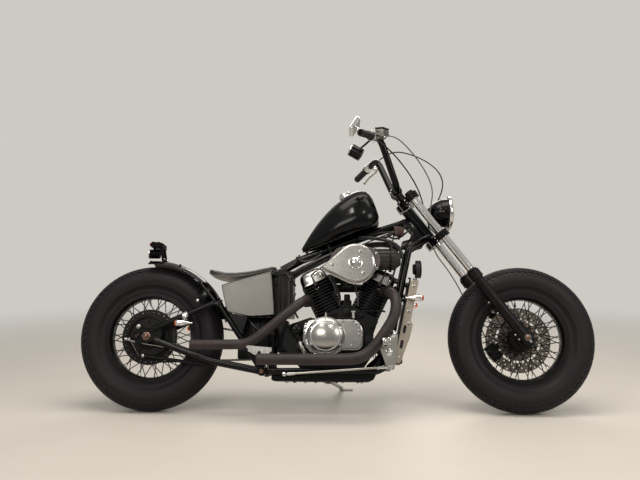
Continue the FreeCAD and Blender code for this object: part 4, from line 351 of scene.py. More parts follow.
dressing = {
    "gloss": ["frame", "swingarm", "fork_clamps", "fuel_tank", "rear_mudguard", "handlebar", "headlamp",
              "speedometer", "belly_pan", "water_pump"],
    "lampPaint": ["tail_lamp"],
    "canister": ["canister"],
    "satin": ["fork_sliders", "front_wheel", "rear_wheel", "rear_brake", "brake_caliper", "battery_box"],
    "casting": ["crankcase", "front_cylinder", "rear_cylinder", "carburettor", "left_engine_cover",
                "sprocket_cover"],
    "backPlate": ["air_cleaner_back"],
    "heat": ["rear_exhaust", "front_exhaust"],
    "engineCover": ["rocker_covers", "right_engine_cover", "clutch_cover", "air_cleaner"],
    "chrome": ["fork_tubes", "mirror", "clutch_control", "indicators"],
    "brushed": ["side_covers"],
    "polished": ["foot_controls"],
    # The radiator covers' warm beige is a painted reflection of the floor
    "aluminiumWithPaintedFloorReflection": ["radiator_covers"],
    "castAluminium": ["brake_control"],
    "frontSteel": ["front_disc"],
    "rearSteel": ["rear_sprocket"],
    "zinc": ["rear_axle", "side_stand", "exhaust_hanger", "front_axle"],
    "chain": ["drive_chain"],
    "tyre": ["front_tyre", "rear_tyre"],
    "grip": ["grips"],
    "sheath": ["control_cables"],
    "vinyl": ["seat"],
    "plastic": ["horn", "radiator"],
    "glass": ["headlamp_lens"],
}
for finishName, nodeNames in dressing.items():
    for nodeName in nodeNames:
        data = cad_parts[nodeName].data
        if not data.materials:
            data.materials.append(finish[finishName])
        for index in range(len(data.materials)):
            data.materials[index] = finish[finishName]
print("finishes on the packed nodes")


# Shapes are drawn in millimetres on the upright machine, and makePiece leans them onto the stand
at = Matrix.Translation


def facing(place, outward, upward=up):
    # Local Z points outward and local Y as near upward as it can
    depth = Vector(outward).normalized()
    across = Vector(upward).cross(depth)
    across = across.normalized() if across.length > 0.01 else Vector((1, 0, 0))
    turned = Matrix((across, depth.cross(across), depth)).transposed().to_4x4()
    turned.translation = Vector(place)
    return turned


def spun(profile, steps=32):
    # A profile of (radius, height) pairs turned about local Z
    shape = bmesh.new()
    points = [shape.verts.new((radius, 0, height)) for radius, height in profile]
    edges = [shape.edges.new(pair) for pair in zip(points, points[1:])]
    bmesh.ops.spin(shape, geom=points + edges, cent=(0, 0, 0), axis=(0, 0, 1), angle=math.tau, steps=steps,
                   use_merge=True)
    bmesh.ops.remove_doubles(shape, verts=shape.verts, dist=0.001)
    return shape


def rounded(shape, lines, offset, segments=2):
    bmesh.ops.bevel(shape, geom=lines, offset=offset, affect="EDGES", segments=segments, profile=0.5, material=-1)


def breakTop(shape, height, edge, segments=2):
    # The edges round the top face are rounded over
    top = [line for line in shape.edges if min(vert.co.z for vert in line.verts) > height * 0.9]
    rounded(shape, top, edge, segments)


def thicken(shape, faces, thickness):
    # Faces are raised along local Z, with walls down to where they were
    grown = bmesh.ops.extrude_face_region(shape, geom=faces)
    raised = [item for item in grown["geom"] if isinstance(item, bmesh.types.BMVert)]
    bmesh.ops.translate(shape, vec=(0, 0, thickness), verts=raised)


def disc(radius, depth, sides=24, edge=0.0, endRadius=None):
    # A plain round slab on local Z = 0, with its outer edge rounded
    shape = bmesh.new()
    bmesh.ops.create_cone(shape, cap_ends=True, segments=sides, radius1=radius,
                          radius2=radius if endRadius is None else endRadius, depth=depth)
    bmesh.ops.translate(shape, vec=(0, 0, depth / 2), verts=shape.verts)
    if edge:
        breakTop(shape, depth, edge)
    return shape


def rod(start, end, radius, endRadius=None, sides=14):
    shape = disc(radius, (Vector(end) - Vector(start)).length, sides, endRadius=endRadius)
    shape.transform(facing(start, Vector(end) - Vector(start)))
    return shape


def box(size, edge=0.0, steps=2):
    shape = bmesh.new()
    bmesh.ops.create_cube(shape, size=1)
    bmesh.ops.scale(shape, vec=size, verts=shape.verts)
    if edge:
        rounded(shape, shape.edges[:], edge, steps)
    return shape


def cord(points, radius, resolution=6, roundness=2, closed=False):
    # A smooth round cord along a route, at any length
    line = bpy.data.curves.new("route", "CURVE")
    line.dimensions = "3D"
    line.bevel_depth = radius
    line.bevel_resolution = roundness
    line.resolution_u = resolution
    line.use_fill_caps = True
    spline = line.splines.new("NURBS")
    spline.points.add(len(points) - 1)
    for point, place in zip(spline.points, points):
        point.co = (*place, 1)
    spline.order_u = 3
    spline.use_endpoint_u = not closed
    spline.use_cyclic_u = closed
    holder = bpy.data.objects.new("route", line)
    data = bpy.data.meshes.new_from_object(holder)
    shape = bmesh.new()
    shape.from_mesh(data)
    bpy.data.objects.remove(holder)
    bpy.data.meshes.remove(data)
    bpy.data.curves.remove(line)
    bmesh.ops.remove_doubles(shape, verts=shape.verts, dist=0.001)
    return shape


def plate(outline, thickness, edge=0.0):
    # A flat outline on local XY raised along local Z, with its upper edge broken
    shape = bmesh.new()
    base = shape.faces.new([shape.verts.new((x, y, 0)) for x, y in outline])
    thicken(shape, [base], thickness)
    if edge:
        breakTop(shape, thickness, edge)
    return shape


def hexBolt(across, height):
    # A chamfered hexagon on a thin washer
    shape = disc(across / math.sqrt(3), height, 6, edge=across * 0.06)
    addPart(shape, disc(across * 0.72, height * 0.2, 18))
    return shape


def socketBolt(radius, height):
    # A cylinder-head screw with its key recess
    shape = disc(radius, height, 16, edge=radius * 0.12)
    top = max(shape.faces, key=lambda face: face.calc_center_median().z)
    bmesh.ops.inset_region(shape, faces=[top], thickness=radius * 0.36, depth=0)
    bmesh.ops.inset_region(shape, faces=[top], thickness=radius * 0.03, depth=-height * 0.6)
    return shape


def domeNut(radius, height):
    shape = disc(radius, height * 0.45, 6, edge=radius * 0.08)
    crown = spun([(radius * 0.84, height * 0.4), (radius * 0.8, height * 0.62), (radius * 0.6, height * 0.85),
                  (radius * 0.3, height * 0.97), (0, height)], 18)
    addPart(shape, crown)
    return shape


def addPart(shape, part, place=None, outward=None, upward=up):
    # A part joins a shape as it is, moved by a matrix, or at a place with its local Z facing outward
    bmesh.ops.recalc_face_normals(part, faces=part.faces)
    if outward is not None:
        part.transform(facing(place, outward, upward))
    elif place is not None:
        part.transform(place)
    carrier = bpy.data.meshes.new("carrier")
    part.to_mesh(carrier)
    part.free()
    shape.from_mesh(carrier)
    bpy.data.meshes.remove(carrier)


def addMany(shape, maker, sizes, places, outward):
    # The same small part at many places, all facing one way
    for place in places:
        addPart(shape, maker(*sizes), place, outward)


def joined(*parts):
    # A shape of several parts, each followed by where it goes
    shape = bmesh.new()
    for part in parts:
        addPart(shape, *part)
    return shape


def addCords(shape, runs, roundness=2):
    # Hoses and wires, each given as its radius and its route
    for radius, route in runs:
        addPart(shape, cord(route, radius, 8, roundness))


def makePiece(name, shape, look, body="chassis", sharp=38, bevel=0.0):
    # A shape becomes a named piece that rides a body
    data = bpy.data.meshes.new(name)
    shape.transform(leaned)
    shape.to_mesh(data)
    shape.free()
    data.materials.append(finish[look])
    data.shade_smooth()
    data.set_sharp_from_angle(angle=math.radians(sharp))
    piece = bpy.data.objects.new(name, data)
    scene.collection.objects.link(piece)
    if bevel:
        rounding = piece.modifiers.new("rounding", "BEVEL")
        rounding.width = bevel / 1000
        rounding.segments = 2
        rounding.limit_method = "ANGLE"
        rounding.angle_limit = math.radians(40)
    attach(piece, body)
    return piece


def around(centre, radius, degrees, y):
    # A place on a circle about a wheel's or pipe's own Y axis
    angle = math.radians(degrees)
    return Vector((centre[0] + radius * math.cos(angle), y, centre[-1] + radius * math.sin(angle)))


rake = math.radians(37.2)
upFork = Vector((-math.sin(rake), 0, math.cos(rake)))
behindFork = Vector((-math.cos(rake), 0, -math.sin(rake)))


def onFork(height, side=0, setback=0):
    return frontAxle + upFork * height + left * side + behindFork * setback


# Tyres: one closed rubber section spun round the wheel, its tread cut in slanting rows of blocks
tread = {"columns": 132, "sectionRadius": 64, "sectionCentre": 286, "floorReach": 59.2, "ribEdge": 8,
         "rowEdges": (8, 23, 38, 54), "shoulderEdge": 70, "zigzag": 1.9, "slantColumns": 0.7, "blockGap": 2.0,
         "sidewall": ((70, 62.6), (82, 64), (95, 64), (106, 64), (115, 64), (117, 65), (120, 65), (122, 63.8),
                      (131, 63.9), (138, 64)),
         "bead": ((228, 41.4), (226, 42.8), (222, 42.8), (220, 40.6), (216.3, 39.7), (203.6, 39.7))}


def tyreShape():
    half = [(angle, tread["floorReach"]) for angle in tread["rowEdges"]] + list(tread["sidewall"])
    half = [(tread["sectionCentre"] + reach * math.cos(math.radians(angle)),
             reach * math.sin(math.radians(angle))) for angle, reach in half] + list(tread["bead"])
    outline = half + [(radius, -y) for radius, y in reversed(half)]
    shape = bmesh.new()
    ring = [shape.verts.new((0, y, radius)) for radius, y in outline]
    edges = [shape.edges.new((ring[index - 1], ring[index])) for index in range(len(ring))]
    bmesh.ops.spin(shape, geom=ring + edges, cent=(0, 0, 0), axis=(0, 1, 0), angle=math.tau,
                   steps=tread["columns"], use_merge=True)
    bmesh.ops.recalc_face_normals(shape, faces=shape.faces)
    step = math.tau / tread["columns"]
    rib, blocks, shoulder = [], [], []
    for face in shape.faces:
        middle = face.calc_center_median()
        angle = abs(math.degrees(math.atan2(middle.y, math.hypot(middle.x, middle.z) - tread["sectionCentre"])))
        column = int((math.atan2(middle.x, middle.z) % math.tau) / step)
        if angle < tread["ribEdge"] - 1:
            rib.append(face)
        elif angle < tread["rowEdges"][-1]:
            blocks.append(face)
        elif angle < tread["shoulderEdge"] and column % 2:
            shoulder.append(face)
    for vert in shape.verts:
        radius = math.hypot(vert.co.x, vert.co.z)
        angle = math.degrees(math.atan2(vert.co.y, radius - tread["sectionCentre"]))
        if abs(angle) > tread["shoulderEdge"] + 1:
            continue
        turn = math.atan2(vert.co.x, vert.co.z)
        column = round(turn / step)
        outward = max(0.0, (abs(angle) - tread["ribEdge"]) / (tread["shoulderEdge"] - tread["ribEdge"]))
        turn += step * tread["slantColumns"] * outward * 2
        reach = math.hypot(radius - tread["sectionCentre"], vert.co.y)
        if abs(angle) < tread["rowEdges"][-1] + 1:
            angle += tread["zigzag"] * (1 if column % 2 else -1) * (1 if angle > 0 else -1)
        radius = tread["sectionCentre"] + reach * math.cos(math.radians(angle))
        vert.co = (radius * math.sin(turn), reach * math.sin(math.radians(angle)), radius * math.cos(turn))
    raised = tread["sectionRadius"] - tread["floorReach"] - 0.2
    bmesh.ops.inset_individual(shape, faces=blocks, thickness=tread["blockGap"], depth=raised)
    bmesh.ops.inset_individual(shape, faces=shoulder, thickness=tread["blockGap"] * 0.7, depth=raised * 0.45)
    bmesh.ops.inset_region(shape, faces=rib, thickness=tread["blockGap"], depth=raised, use_boundary=True)
    return shape


for tyreName, node, body, centre in (("frontTyreTread", "front_tyre", "front_wheel_set", frontAxle),
                                     ("rearTyreTread", "rear_tyre", "rear_wheel_set", rearAxle)):
    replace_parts(makePiece(tyreName, joined((tyreShape(), at(centre))), "tyre", body, sharp=30), node)
print("tyres with tread")


# Chain: pairs of waisted plates on pins, round the two sprockets
chain = {"rearRadius": 112, "frontCentre": Vector((668, 0, 300)), "frontRadius": 43, "y": 82, "links": 116,
         "plateRadius": 6.0, "plateThickness": 1.7, "innerHalf": 4.2, "outerHalf": 6.2, "waist": 0.62,
         "pin": (2.6, 17.4), "roller": (4.6, 8.2)}


def chainPlace(share):
    # The pin line's point at a share of its length, starting on top of the rear sprocket
    span = chain["frontCentre"] - rearAxle
    heading = math.atan2(span.z, span.x)
    spread = math.acos((chain["rearRadius"] - chain["frontRadius"]) / span.length)
    straight = span.length * math.sin(spread)
    rearArc = chain["rearRadius"] * 2 * (math.pi - spread)
    frontArc = chain["frontRadius"] * 2 * spread
    place = (share % 1) * (straight * 2 + rearArc + frontArc)
    if place < rearArc:
        return around(rearAxle, chain["rearRadius"], math.degrees(heading + spread + place / chain["rearRadius"]),
                      chain["y"])
    place -= rearArc
    lower, upper = math.degrees(heading - spread), math.degrees(heading + spread)
    if place < straight:
        start = around(rearAxle, chain["rearRadius"], lower, chain["y"])
        return start.lerp(around(chain["frontCentre"], chain["frontRadius"], lower, chain["y"]), place / straight)
    place -= straight
    if place < frontArc:
        return around(chain["frontCentre"], chain["frontRadius"],
                      lower + math.degrees(place / chain["frontRadius"]), chain["y"])
    place -= frontArc
    start = around(chain["frontCentre"], chain["frontRadius"], upper, chain["y"])
    return start.lerp(around(rearAxle, chain["rearRadius"], upper, chain["y"]), place / straight)


def chainPlate(pitch):
    # A round blank stretched to the pitch, its two middle points drawn in as the waist
    shape = disc(chain["plateRadius"], chain["plateThickness"], 16)
    for vert in shape.verts:
        if abs(vert.co.x) < 0.1:
            vert.co.y *= chain["waist"]
        else:
            vert.co.x += math.copysign(pitch / 2, vert.co.x)
    return shape


shape = bmesh.new()
pins = [chainPlace(index / chain["links"]) for index in range(chain["links"])]
for index, pin in enumerate(pins):
    following = pins[(index + 1) % len(pins)]
    outer = index % 2
    half = chain["outerHalf"] if outer else chain["innerHalf"]
    middle = (pin + following) / 2
    for side in (-1, 1):
        low = half if side > 0 else -half - chain["plateThickness"]
        place = facing(middle + left * (low + chain["plateThickness"]), right, (following - pin).cross(right))
        addPart(shape, chainPlate((following - pin).length), place)
    for radius, width in (chain["pin"], chain["roller"]):
        addPart(shape, disc(radius, width, 8), pin + left * (width / 2), right)
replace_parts(makePiece("driveChainLinks", shape, "chain"), "drive_chain")
print("chain with", chain["links"], "links")


# Seat: a thin foam pad swollen under its cover, on a bare metal pan that shows along its edge
seatPlan = {"rear": 277, "front": 606, "halfWidth": 100, "noseHalf": 50, "tailHalf": 54, "noseReach": 130,
            "tailReach": 62, "line": ((272, 662), (350, 640), (440, 640), (612, 676)), "columns": 36, "rows": 22,
            "crown": 3.0, "padLift": 6.5, "padThickness": 14, "padInset": 2, "panLift": 0.6, "panThickness": 5,
            "voxel": 0.005, "pressure": 4.0, "frames": 20, "restingDepth": 3, "mostMove": 0.005, "fill": 0.6,
            "pipingRadius": 1.9, "pipingLift": 0.4, "pipingStep": 12}


def seatHeight(x):
    # A smooth curve through the four points of the seat's side line
    height = 0.0
    for place, level in seatPlan["line"]:
        share = level
        for other, _ in seatPlan["line"]:
            if other != place:
                share *= (x - other) / (place - other)
        height += share
    return height


def seatHalfWidth(x):
    def eased(share):
        share = min(1.0, max(0.0, share))
        return math.sqrt(1 - (1 - share) ** 2)
    tail = eased((x - seatPlan["rear"]) / seatPlan["tailReach"])
    nose = eased((seatPlan["front"] - x) / seatPlan["noseReach"])
    return min(seatPlan["tailHalf"] + (seatPlan["halfWidth"] - seatPlan["tailHalf"]) * tail,
               seatPlan["noseHalf"] + (seatPlan["halfWidth"] - seatPlan["noseHalf"]) * nose)


def seatSlab(lift, thickness, inset):
    shape = bmesh.new()
    bmesh.ops.create_grid(shape, x_segments=seatPlan["columns"], y_segments=seatPlan["rows"], size=1)
    middle, half = (seatPlan["rear"] + seatPlan["front"]) / 2, (seatPlan["front"] - seatPlan["rear"]) / 2
    for vert in shape.verts:
        x, across = middle + vert.co.x * (half - inset), vert.co.y
        crown = seatPlan["crown"] * (1 - across * across)
        vert.co = (x, across * (seatHalfWidth(x) - inset), seatHeight(x) + lift + crown * lift / 10)
    thicken(shape, shape.faces[:], thickness)
    bmesh.ops.recalc_face_normals(shape, faces=shape.faces)
    return shape


def applied(piece):
    # The piece's mesh with its modifiers worked in
    settled = bpy.data.meshes.new_from_object(piece.evaluated_get(bpy.context.evaluated_depsgraph_get()))
    piece.modifiers.clear()
    piece.data = settled


def liesOnPan(place):
    upright = leaned.inverted() @ place
    return upright.z < seatHeight(upright.x) + seatPlan["padLift"] + seatPlan["restingDepth"]


def swollen(piece):
    # Even mesh, then cloth under pressure, with how far a point may move kept small
    remesh = piece.modifiers.new("evenMesh", "REMESH")
    remesh.mode = "VOXEL"
    remesh.voxel_size = seatPlan["voxel"]
    remesh.use_smooth_shade = True
    applied(piece)
    start = [vert.co.copy() for vert in piece.data.vertices]
    resting = piece.vertex_groups.new(name="resting")
    resting.add([vert.index for vert in piece.data.vertices if liesOnPan(vert.co)], 1.0, "REPLACE")
    cloth = piece.modifiers.new("swell", "CLOTH")
    cloth.settings.use_pressure = True
    cloth.settings.uniform_pressure_force = seatPlan["pressure"]
    cloth.settings.effector_weights.gravity = 0
    cloth.settings.vertex_group_mass = "resting"
    for frameNumber in range(1, seatPlan["frames"] + 1):
        scene.frame_set(frameNumber)
        bpy.context.view_layer.update()
    applied(piece)
    scene.frame_set(1)
    for vert, before in zip(piece.data.vertices, start):
        move = vert.co - before
        if move.length > seatPlan["mostMove"]:
            vert.co = before + move.normalized() * seatPlan["mostMove"]
    piece.vertex_groups.clear()


pad = joined((seatSlab(seatPlan["padLift"], seatPlan["padThickness"], seatPlan["padInset"]),))
seatPad = makePiece("seatPad", pad, "vinyl", sharp=80)
swollen(seatPad)
seatPad.data.shade_smooth()
if not seatPad.data.materials:
    seatPad.data.materials.append(finish["vinyl"])
smooth = seatPad.modifiers.new("smooth", "SUBSURF")
smooth.levels = smooth.render_levels = 1
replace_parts(seatPad, "seat")
makePiece("seatPan", joined((seatSlab(seatPlan["panLift"], seatPlan["panThickness"], 0),)), "seatSheet",
          bevel=0.8)
edgeLine = []
for side in (-1, 1):
    run = [(x, side * seatHalfWidth(x), seatHeight(x) + seatPlan["padLift"] + seatPlan["pipingLift"])
           for x in range(seatPlan["rear"] + 1, seatPlan["front"], seatPlan["pipingStep"])]
    edgeLine += run if side > 0 else run[::-1]
makePiece("seatPiping", joined((cord(edgeLine, seatPlan["pipingRadius"], 3, closed=True),)), "vinyl")
print("seat pad, pan and piping")


# Wheels: spoke nipples, valves, flange screws, hub caps and the disc's bolts. A spoke row is its circle in
# the hub, its offset from the axle, the places of flange and rim, and half the angle and shift of a pair
spokeRows = {"front": ((52, 48, -30, -9, 6.9, 0), (52, 48, 30, 9, 10.6, 0.5)),
             "rear": ((122, 64, -52, -9, 6.9, 0), (70, 64, 30, 9, 10.6, 0.5))}
wheelTrim = {"groups": 14, "rimCircle": 194, "nippleLength": 17, "nippleRadius": 3.4, "nippleTip": 2.6,
             "elbow": (-5, 6, 3.0, 3.4), "valveAngle": 96, "valveReach": (192, 156),
             "valve": ((0, 0.3, 4.6, 3.4, 12), (0.25, 0.75, 2.6, 2.6, 10), (0.68, 1, 3.6, 3.2, 10)),
             "cover": ((52, 0), (52, 1.6), (48, 2.2), (30, 3.4), (26, 3.4), (25, 1), (18, 1), (18, 0)),
             "collar": ((34, 0), (34, 6), (31, 9), (24, 10), (17, 10), (17, 0)),
             "drum": ((40, 10, ((33.2, 0), (35, 2), (35, 3.4), (33.2, 5.4))),
                      (96, -24, ((106.4, 0), (108.4, 1.2), (108.4, 4), (106.4, 5.2))),
                      (96, -36, ((106.4, 0), (107.6, 0.9), (107.6, 2.8), (106.4, 3.7))))}


def ring(centre, radius, count, start, y):
    # Even places on a circle about an axle
    return [around(centre, radius, 360 / count * index + start, y) for index in range(count)]


def nipples(which, centre):
    shape = bmesh.new()
    low, high, radius, endRadius = wheelTrim["elbow"]
    for holeCircle, tangent, flangeY, rimY, pair, offset in spokeRows[which]:
        sweep = math.degrees(math.acos(tangent / wheelTrim["rimCircle"]) - math.acos(tangent / holeCircle))
        for index in range(wheelTrim["groups"]):
            for way in (-1, 1):
                rimAngle = (index + offset) * 360 / wheelTrim["groups"] + way * pair
                hubEnd = around(centre, holeCircle, rimAngle - way * sweep, flangeY)
                rimEnd = around(centre, wheelTrim["rimCircle"], rimAngle, rimY)
                reach = (hubEnd - rimEnd).normalized()
                addPart(shape, rod(rimEnd, rimEnd + reach * wheelTrim["nippleLength"],
                                   wheelTrim["nippleRadius"], wheelTrim["nippleTip"], 8))
                addPart(shape, rod(hubEnd + reach * low, hubEnd + reach * high, radius, endRadius, 8))
    return shape


for which, body, centre in (("front", "front_wheel_set", frontAxle), ("rear", "rear_wheel_set", rearAxle)):
    makePiece(which + "Nipples", nipples(which, centre), "zinc", body)
    root, tip = [around(centre, reach, wheelTrim["valveAngle"], 0) for reach in wheelTrim["valveReach"]]
    valve = [(rod(root.lerp(tip, low), root.lerp(tip, high), radius, endRadius, sides),)
             for low, high, radius, endRadius, sides in wheelTrim["valve"]]
    makePiece(which + "Valve", joined(*valve), "sheath", body)
shape = bmesh.new()
addMany(shape, hexBolt, (11, 7), ring(frontAxle, 80, 6, 12, 60), left)
addMany(shape, disc, (5.4, 3.2, 14, 0.8), ring(frontAxle, 104.5, 10, 0, 60), left)
makePiece("discBolts", shape, "zinc", "front_wheel_set")
makePiece("frontHubCap", joined((spun(wheelTrim["cover"], 48), frontAxle + right * 33.6, right),
                                (spun(wheelTrim["collar"], 40), frontAxle + right * 37, right)),
          "satin", "front_wheel_set")
shape = joined(*[(spun(profile, steps), rearAxle + left * y, right) for steps, y, profile in wheelTrim["drum"]])
addMany(shape, disc, (3.4, 2.4, 8, 0.6), ring(rearAxle, 128, 28, 4, -56), right)
makePiece("drumRibs", shape, "satin", "rear_wheel_set")
shape = bmesh.new()
addMany(shape, hexBolt, (13, 7), ring(rearAxle, 40, 6, 30, 85.5), left)
makePiece("sprocketBolts", shape, "zinc", "rear_wheel_set")
print("wheel details")


# Air cleaner: a bead round the flat face, three screws, and a plain domed centre in a ring
filterPlan = {"centre": Vector((989, 0, 688)), "radius": 92, "tip": Vector((846, 0, 668)), "tipRadius": 12,
              "face": -214, "beads": ((10.5, 0.2, 1.5), (-0.8, 47, 2.6), (-0.2, 24, 1.4)), "steps": 26,
              "tipSteps": 6, "ring": ((34, 0), (33, 2.6), (30, 3.4), (27.5, 2.4), (27.5, 0)), "domeLift": 8.4,
              "dome": ((17, 0), (16, 2.4), (12, 3.8), (6, 4.6), (0, 4.8)),
              "screws": ((1012, 742), (880, 681), (1024, 640)),
              "plateBolts": ((936, 768), (1040, 768), (1088, 742), (1088, 669)), "plateFace": -162}


def teardrop(inset, y):
    # Points round the filter's outline, at a distance inside it
    centre, tip, steps, tipSteps = [filterPlan[key] for key in ("centre", "tip", "steps", "tipSteps")]
    span = tip - centre
    heading = math.degrees(math.atan2(span.z, span.x))
    spread = math.degrees(math.acos((filterPlan["radius"] - filterPlan["tipRadius"]) / span.length))
    wide = [heading + spread + (360 - 2 * spread) * index / steps for index in range(steps + 1)]
    narrow = [heading - spread + 2 * spread * index / tipSteps for index in range(tipSteps + 1)]
    return ([around(centre, filterPlan["radius"] - inset, angle, y) for angle in wide]
            + [around(tip, max(3, filterPlan["tipRadius"] - inset), angle, y) for angle in narrow])


filterFace = filterPlan["centre"] + left * filterPlan["face"]
shape = joined(*[(cord(teardrop(inset, filterPlan["face"] + depth), radius, 3, closed=True),)
                 for inset, depth, radius in filterPlan["beads"]])
addPart(shape, spun(filterPlan["ring"], 48), filterFace, right)
addPart(shape, spun(filterPlan["dome"], 32), filterFace + right * filterPlan["domeLift"], right)
makePiece("airCleanerBeads", shape, "chrome")
shape = bmesh.new()
for x, z in filterPlan["screws"]:
    addPart(shape, disc(9, 1.4, 20, 0.5), (x, filterPlan["face"], z), right)
    addPart(shape, socketBolt(5.8, 5.2), (x, filterPlan["face"] - 1, z), right)
makePiece("airCleanerScrews", shape, "zinc")
shape = bmesh.new()
addMany(shape, hexBolt, (10, 5), [(x, filterPlan["plateFace"], z) for x, z in filterPlan["plateBolts"]], right)
makePiece("backPlateBolts", shape, "zinc")
print("air cleaner")


# Engine: cover screws, clutch bands and slot, plugs and leads
enginePlan = {"crank": Vector((952, 0, 300)), "angle": 26, "coverY": -148, "clutch": Vector((848, 0, 352)),
              "coverMiddle": (878, 361), "coverHalf": (142, 75), "screwInset": (15, 13), "clutchReach": 96,
              "cover": ((-0.95, 0.74), (0.07, 1.00), (0.77, 1.00), (1.00, 0.62), (1.00, 0.00), (0.72, -0.84),
                        (-0.53, -1.00), (-1.00, 0.22)),
              "sprocketCover": ((650, 120, 345), (650, 120, 255), (800, 120, 345), (725, 120, 352)),
              "bands": (((84.6, 2), (86.4, 4), (86.4, 9), (84.6, 11)),
                        ((71, 21.4), (70.2, 24.4), (66.4, 25.6), (62.6, 25.0), (62.6, 22))),
              "groove": ((62.4, 24.6), (60.6, 26.3), (56.4, 27.6), (54.6, 28.0)), "screwSplay": 0.3}


def cylinderAxis(way):
    turn = math.radians(enginePlan["angle"]) * way
    return Vector((math.sin(turn), 0, math.cos(turn)))


def onCylinder(way, height, across=0.0, side=0.0):
    axis = cylinderAxis(way)
    return enginePlan["crank"] + axis * height + Vector((axis.z, 0, -axis.x)) * across + left * side


coverPlaces = []
for corner, following in zip(enginePlan["cover"], enginePlan["cover"][1:] + enginePlan["cover"][:1]):
    for share in (0.0, 0.5):
        x, z = [middle + (here + (there - here) * share) * (half - inset) for middle, here, there, half, inset
                in zip(enginePlan["coverMiddle"], corner, following, enginePlan["coverHalf"],
                       enginePlan["screwInset"])]
        if math.hypot(x - enginePlan["clutch"].x, z - enginePlan["clutch"].z) > enginePlan["clutchReach"]:
            coverPlaces.append((x, enginePlan["coverY"] - 0.2, z))
shape = bmesh.new()
addMany(shape, socketBolt, (5.2, 5.5), coverPlaces, right)
addMany(shape, socketBolt, (5.2, 5.5), ring((952, 0, 320), 77, 8, 10, 128), left)
addMany(shape, socketBolt, (4.6, 5.0), enginePlan["sprocketCover"], left)
makePiece("engineCoverScrews", shape, "zinc")

clutchFace = facing(enginePlan["clutch"] + left * enginePlan["coverY"], right)
shape = joined(*[(spun(profile, 72), clutchFace) for profile in enginePlan["bands"]])
for spot in ring(enginePlan["clutch"], 77, 6, 30, -163.6):
    outward = (spot - enginePlan["clutch"] - left * spot.y).normalized()
    addPart(shape, socketBolt(5.0, 5.2), spot, right + outward * enginePlan["screwSplay"])
makePiece("clutchBands", shape, "chrome")
shape = joined((spun(enginePlan["groove"], 72), clutchFace))
bmesh.ops.solidify(shape, geom=shape.faces[:], thickness=0.9)
addPart(shape, box((9, 30, 1.6), 0.6), (845, -166.2, 299), right - up * 0.42)
makePiece("clutchGroove", shape, "casting", sharp=60)

plugPlan = {"height": 318, "across": 6, "side": -60, "splay": 0.45, "coil": Vector((1205, -60, 867)),
            "leadRadius": 3.5}
coil = plugPlan["coil"]
plugs, leads, caps = bmesh.new(), bmesh.new(), bmesh.new()
for way in (-1, 1):
    axis = cylinderAxis(way)
    outward = (right + axis * plugPlan["splay"]).normalized()
    seat = onCylinder(way, plugPlan["height"], plugPlan["across"] * way, plugPlan["side"])
    addPart(plugs, disc(9.5, 14, 6, 0.8), seat, outward)
    addPart(plugs, rod(seat + outward * 12, seat + outward * 26, 6.2, 4.8, 14))
    boot = seat + outward * 22
    elbow = boot + outward * 26
    addPart(caps, rod(boot, boot + outward * 30, 8.4, 7.6, 16))
    addPart(caps, rod(elbow, elbow + axis * 22, 7.4, 4.6, 14))
    start = elbow + axis * 20
    midway = start + axis * 40 + left * 18
    socket = coil + left * (12 * way)
    addPart(leads, cord([start, start + axis * 16, midway, midway.lerp(coil, 0.5) + up * 26,
                         socket - ahead * 26, socket - ahead * 12], plugPlan["leadRadius"], 6))
makePiece("sparkPlugs", plugs, "zinc")
makePiece("plugCaps", caps, "sheath")
makePiece("plugLeads", leads, "sheath")
makePiece("ignitionCoil", joined((box((42, 46, 34), 4), coil, right, ahead),
                                 (box((20, 52, 22), 3), coil + up * 16, right, ahead)), "coil")
makePiece("coilBracket", joined((box((60, 14, 3), 0.8), coil - up * 18, up, ahead),
                                (rod(coil - up * 18, (1205, -30, 838), 5, 5, 12),)), "satin")
print("engine details")


# Fork: dust seals, caps, pinch bolts, drain screws and the bosses cast on the legs
forkPlan = {"spacing": 105, "sliderTop": 395, "lowerClamp": 621, "upperClamp": 858, "top": 884}
shape, bolts = bmesh.new(), bmesh.new()
for side in (-forkPlan["spacing"], forkPlan["spacing"]):
    outer = left * math.copysign(1, side)
    addPart(shape, spun([(20.2, 0), (26, 0.5), (27.5, 3), (27.2, 7), (24, 9), (22, 13), (20.2, 14)], 36),
            onFork(forkPlan["sliderTop"], side), upFork)
    addPart(shape, spun([(32.2, 0), (33.4, 1.5), (33.4, 5), (32.2, 6.5)], 36), onFork(356, side), upFork)
    addPart(shape, spun([(27.2, 0), (28.6, 1.5), (28.6, 6), (27.2, 7.5)], 36), onFork(322, side), upFork)
    for height in (232, 168):
        addPart(shape, disc(9, 5, 16, 1.2, endRadius=8), onFork(height, side, 25), behindFork)
        addPart(bolts, socketBolt(5.4, 5), onFork(height, side, 29.6), behindFork)
    addPart(shape, disc(21, 7, 20, 2), onFork(-38, side), -upFork)
    addPart(bolts, socketBolt(6.5, 3), onFork(-44.6, side), -upFork)
    addPart(bolts, hexBolt(9, 5), onFork(-22, side) + outer * 26.6, outer)
    for height in (14, 40):
        addPart(bolts, socketBolt(5.2, 6), onFork(height, side, 27), behindFork)
    addPart(shape, domeNut(9.5, 11), onFork(70, side) + outer * 26, outer)
makePiece("forkSeals", shape, "satin", "steered_front")
for height in (forkPlan["lowerClamp"], forkPlan["upperClamp"]):
    for side in (-forkPlan["spacing"], forkPlan["spacing"]):
        for step in (-8, 8):
            addPart(bolts, socketBolt(5.6, 7), onFork(height + step, side * 0.86, 31), behindFork)
            addPart(bolts, socketBolt(5.6, 7), onFork(height + step, side * 0.7, -25.6), -behindFork)
for side in (-24, 24):
    for setback in (9, 43):
        addPart(bolts, socketBolt(5.6, 6.5), onFork(956, side, setback), upFork)
makePiece("forkBolts", bolts, "zinc", "steered_front")

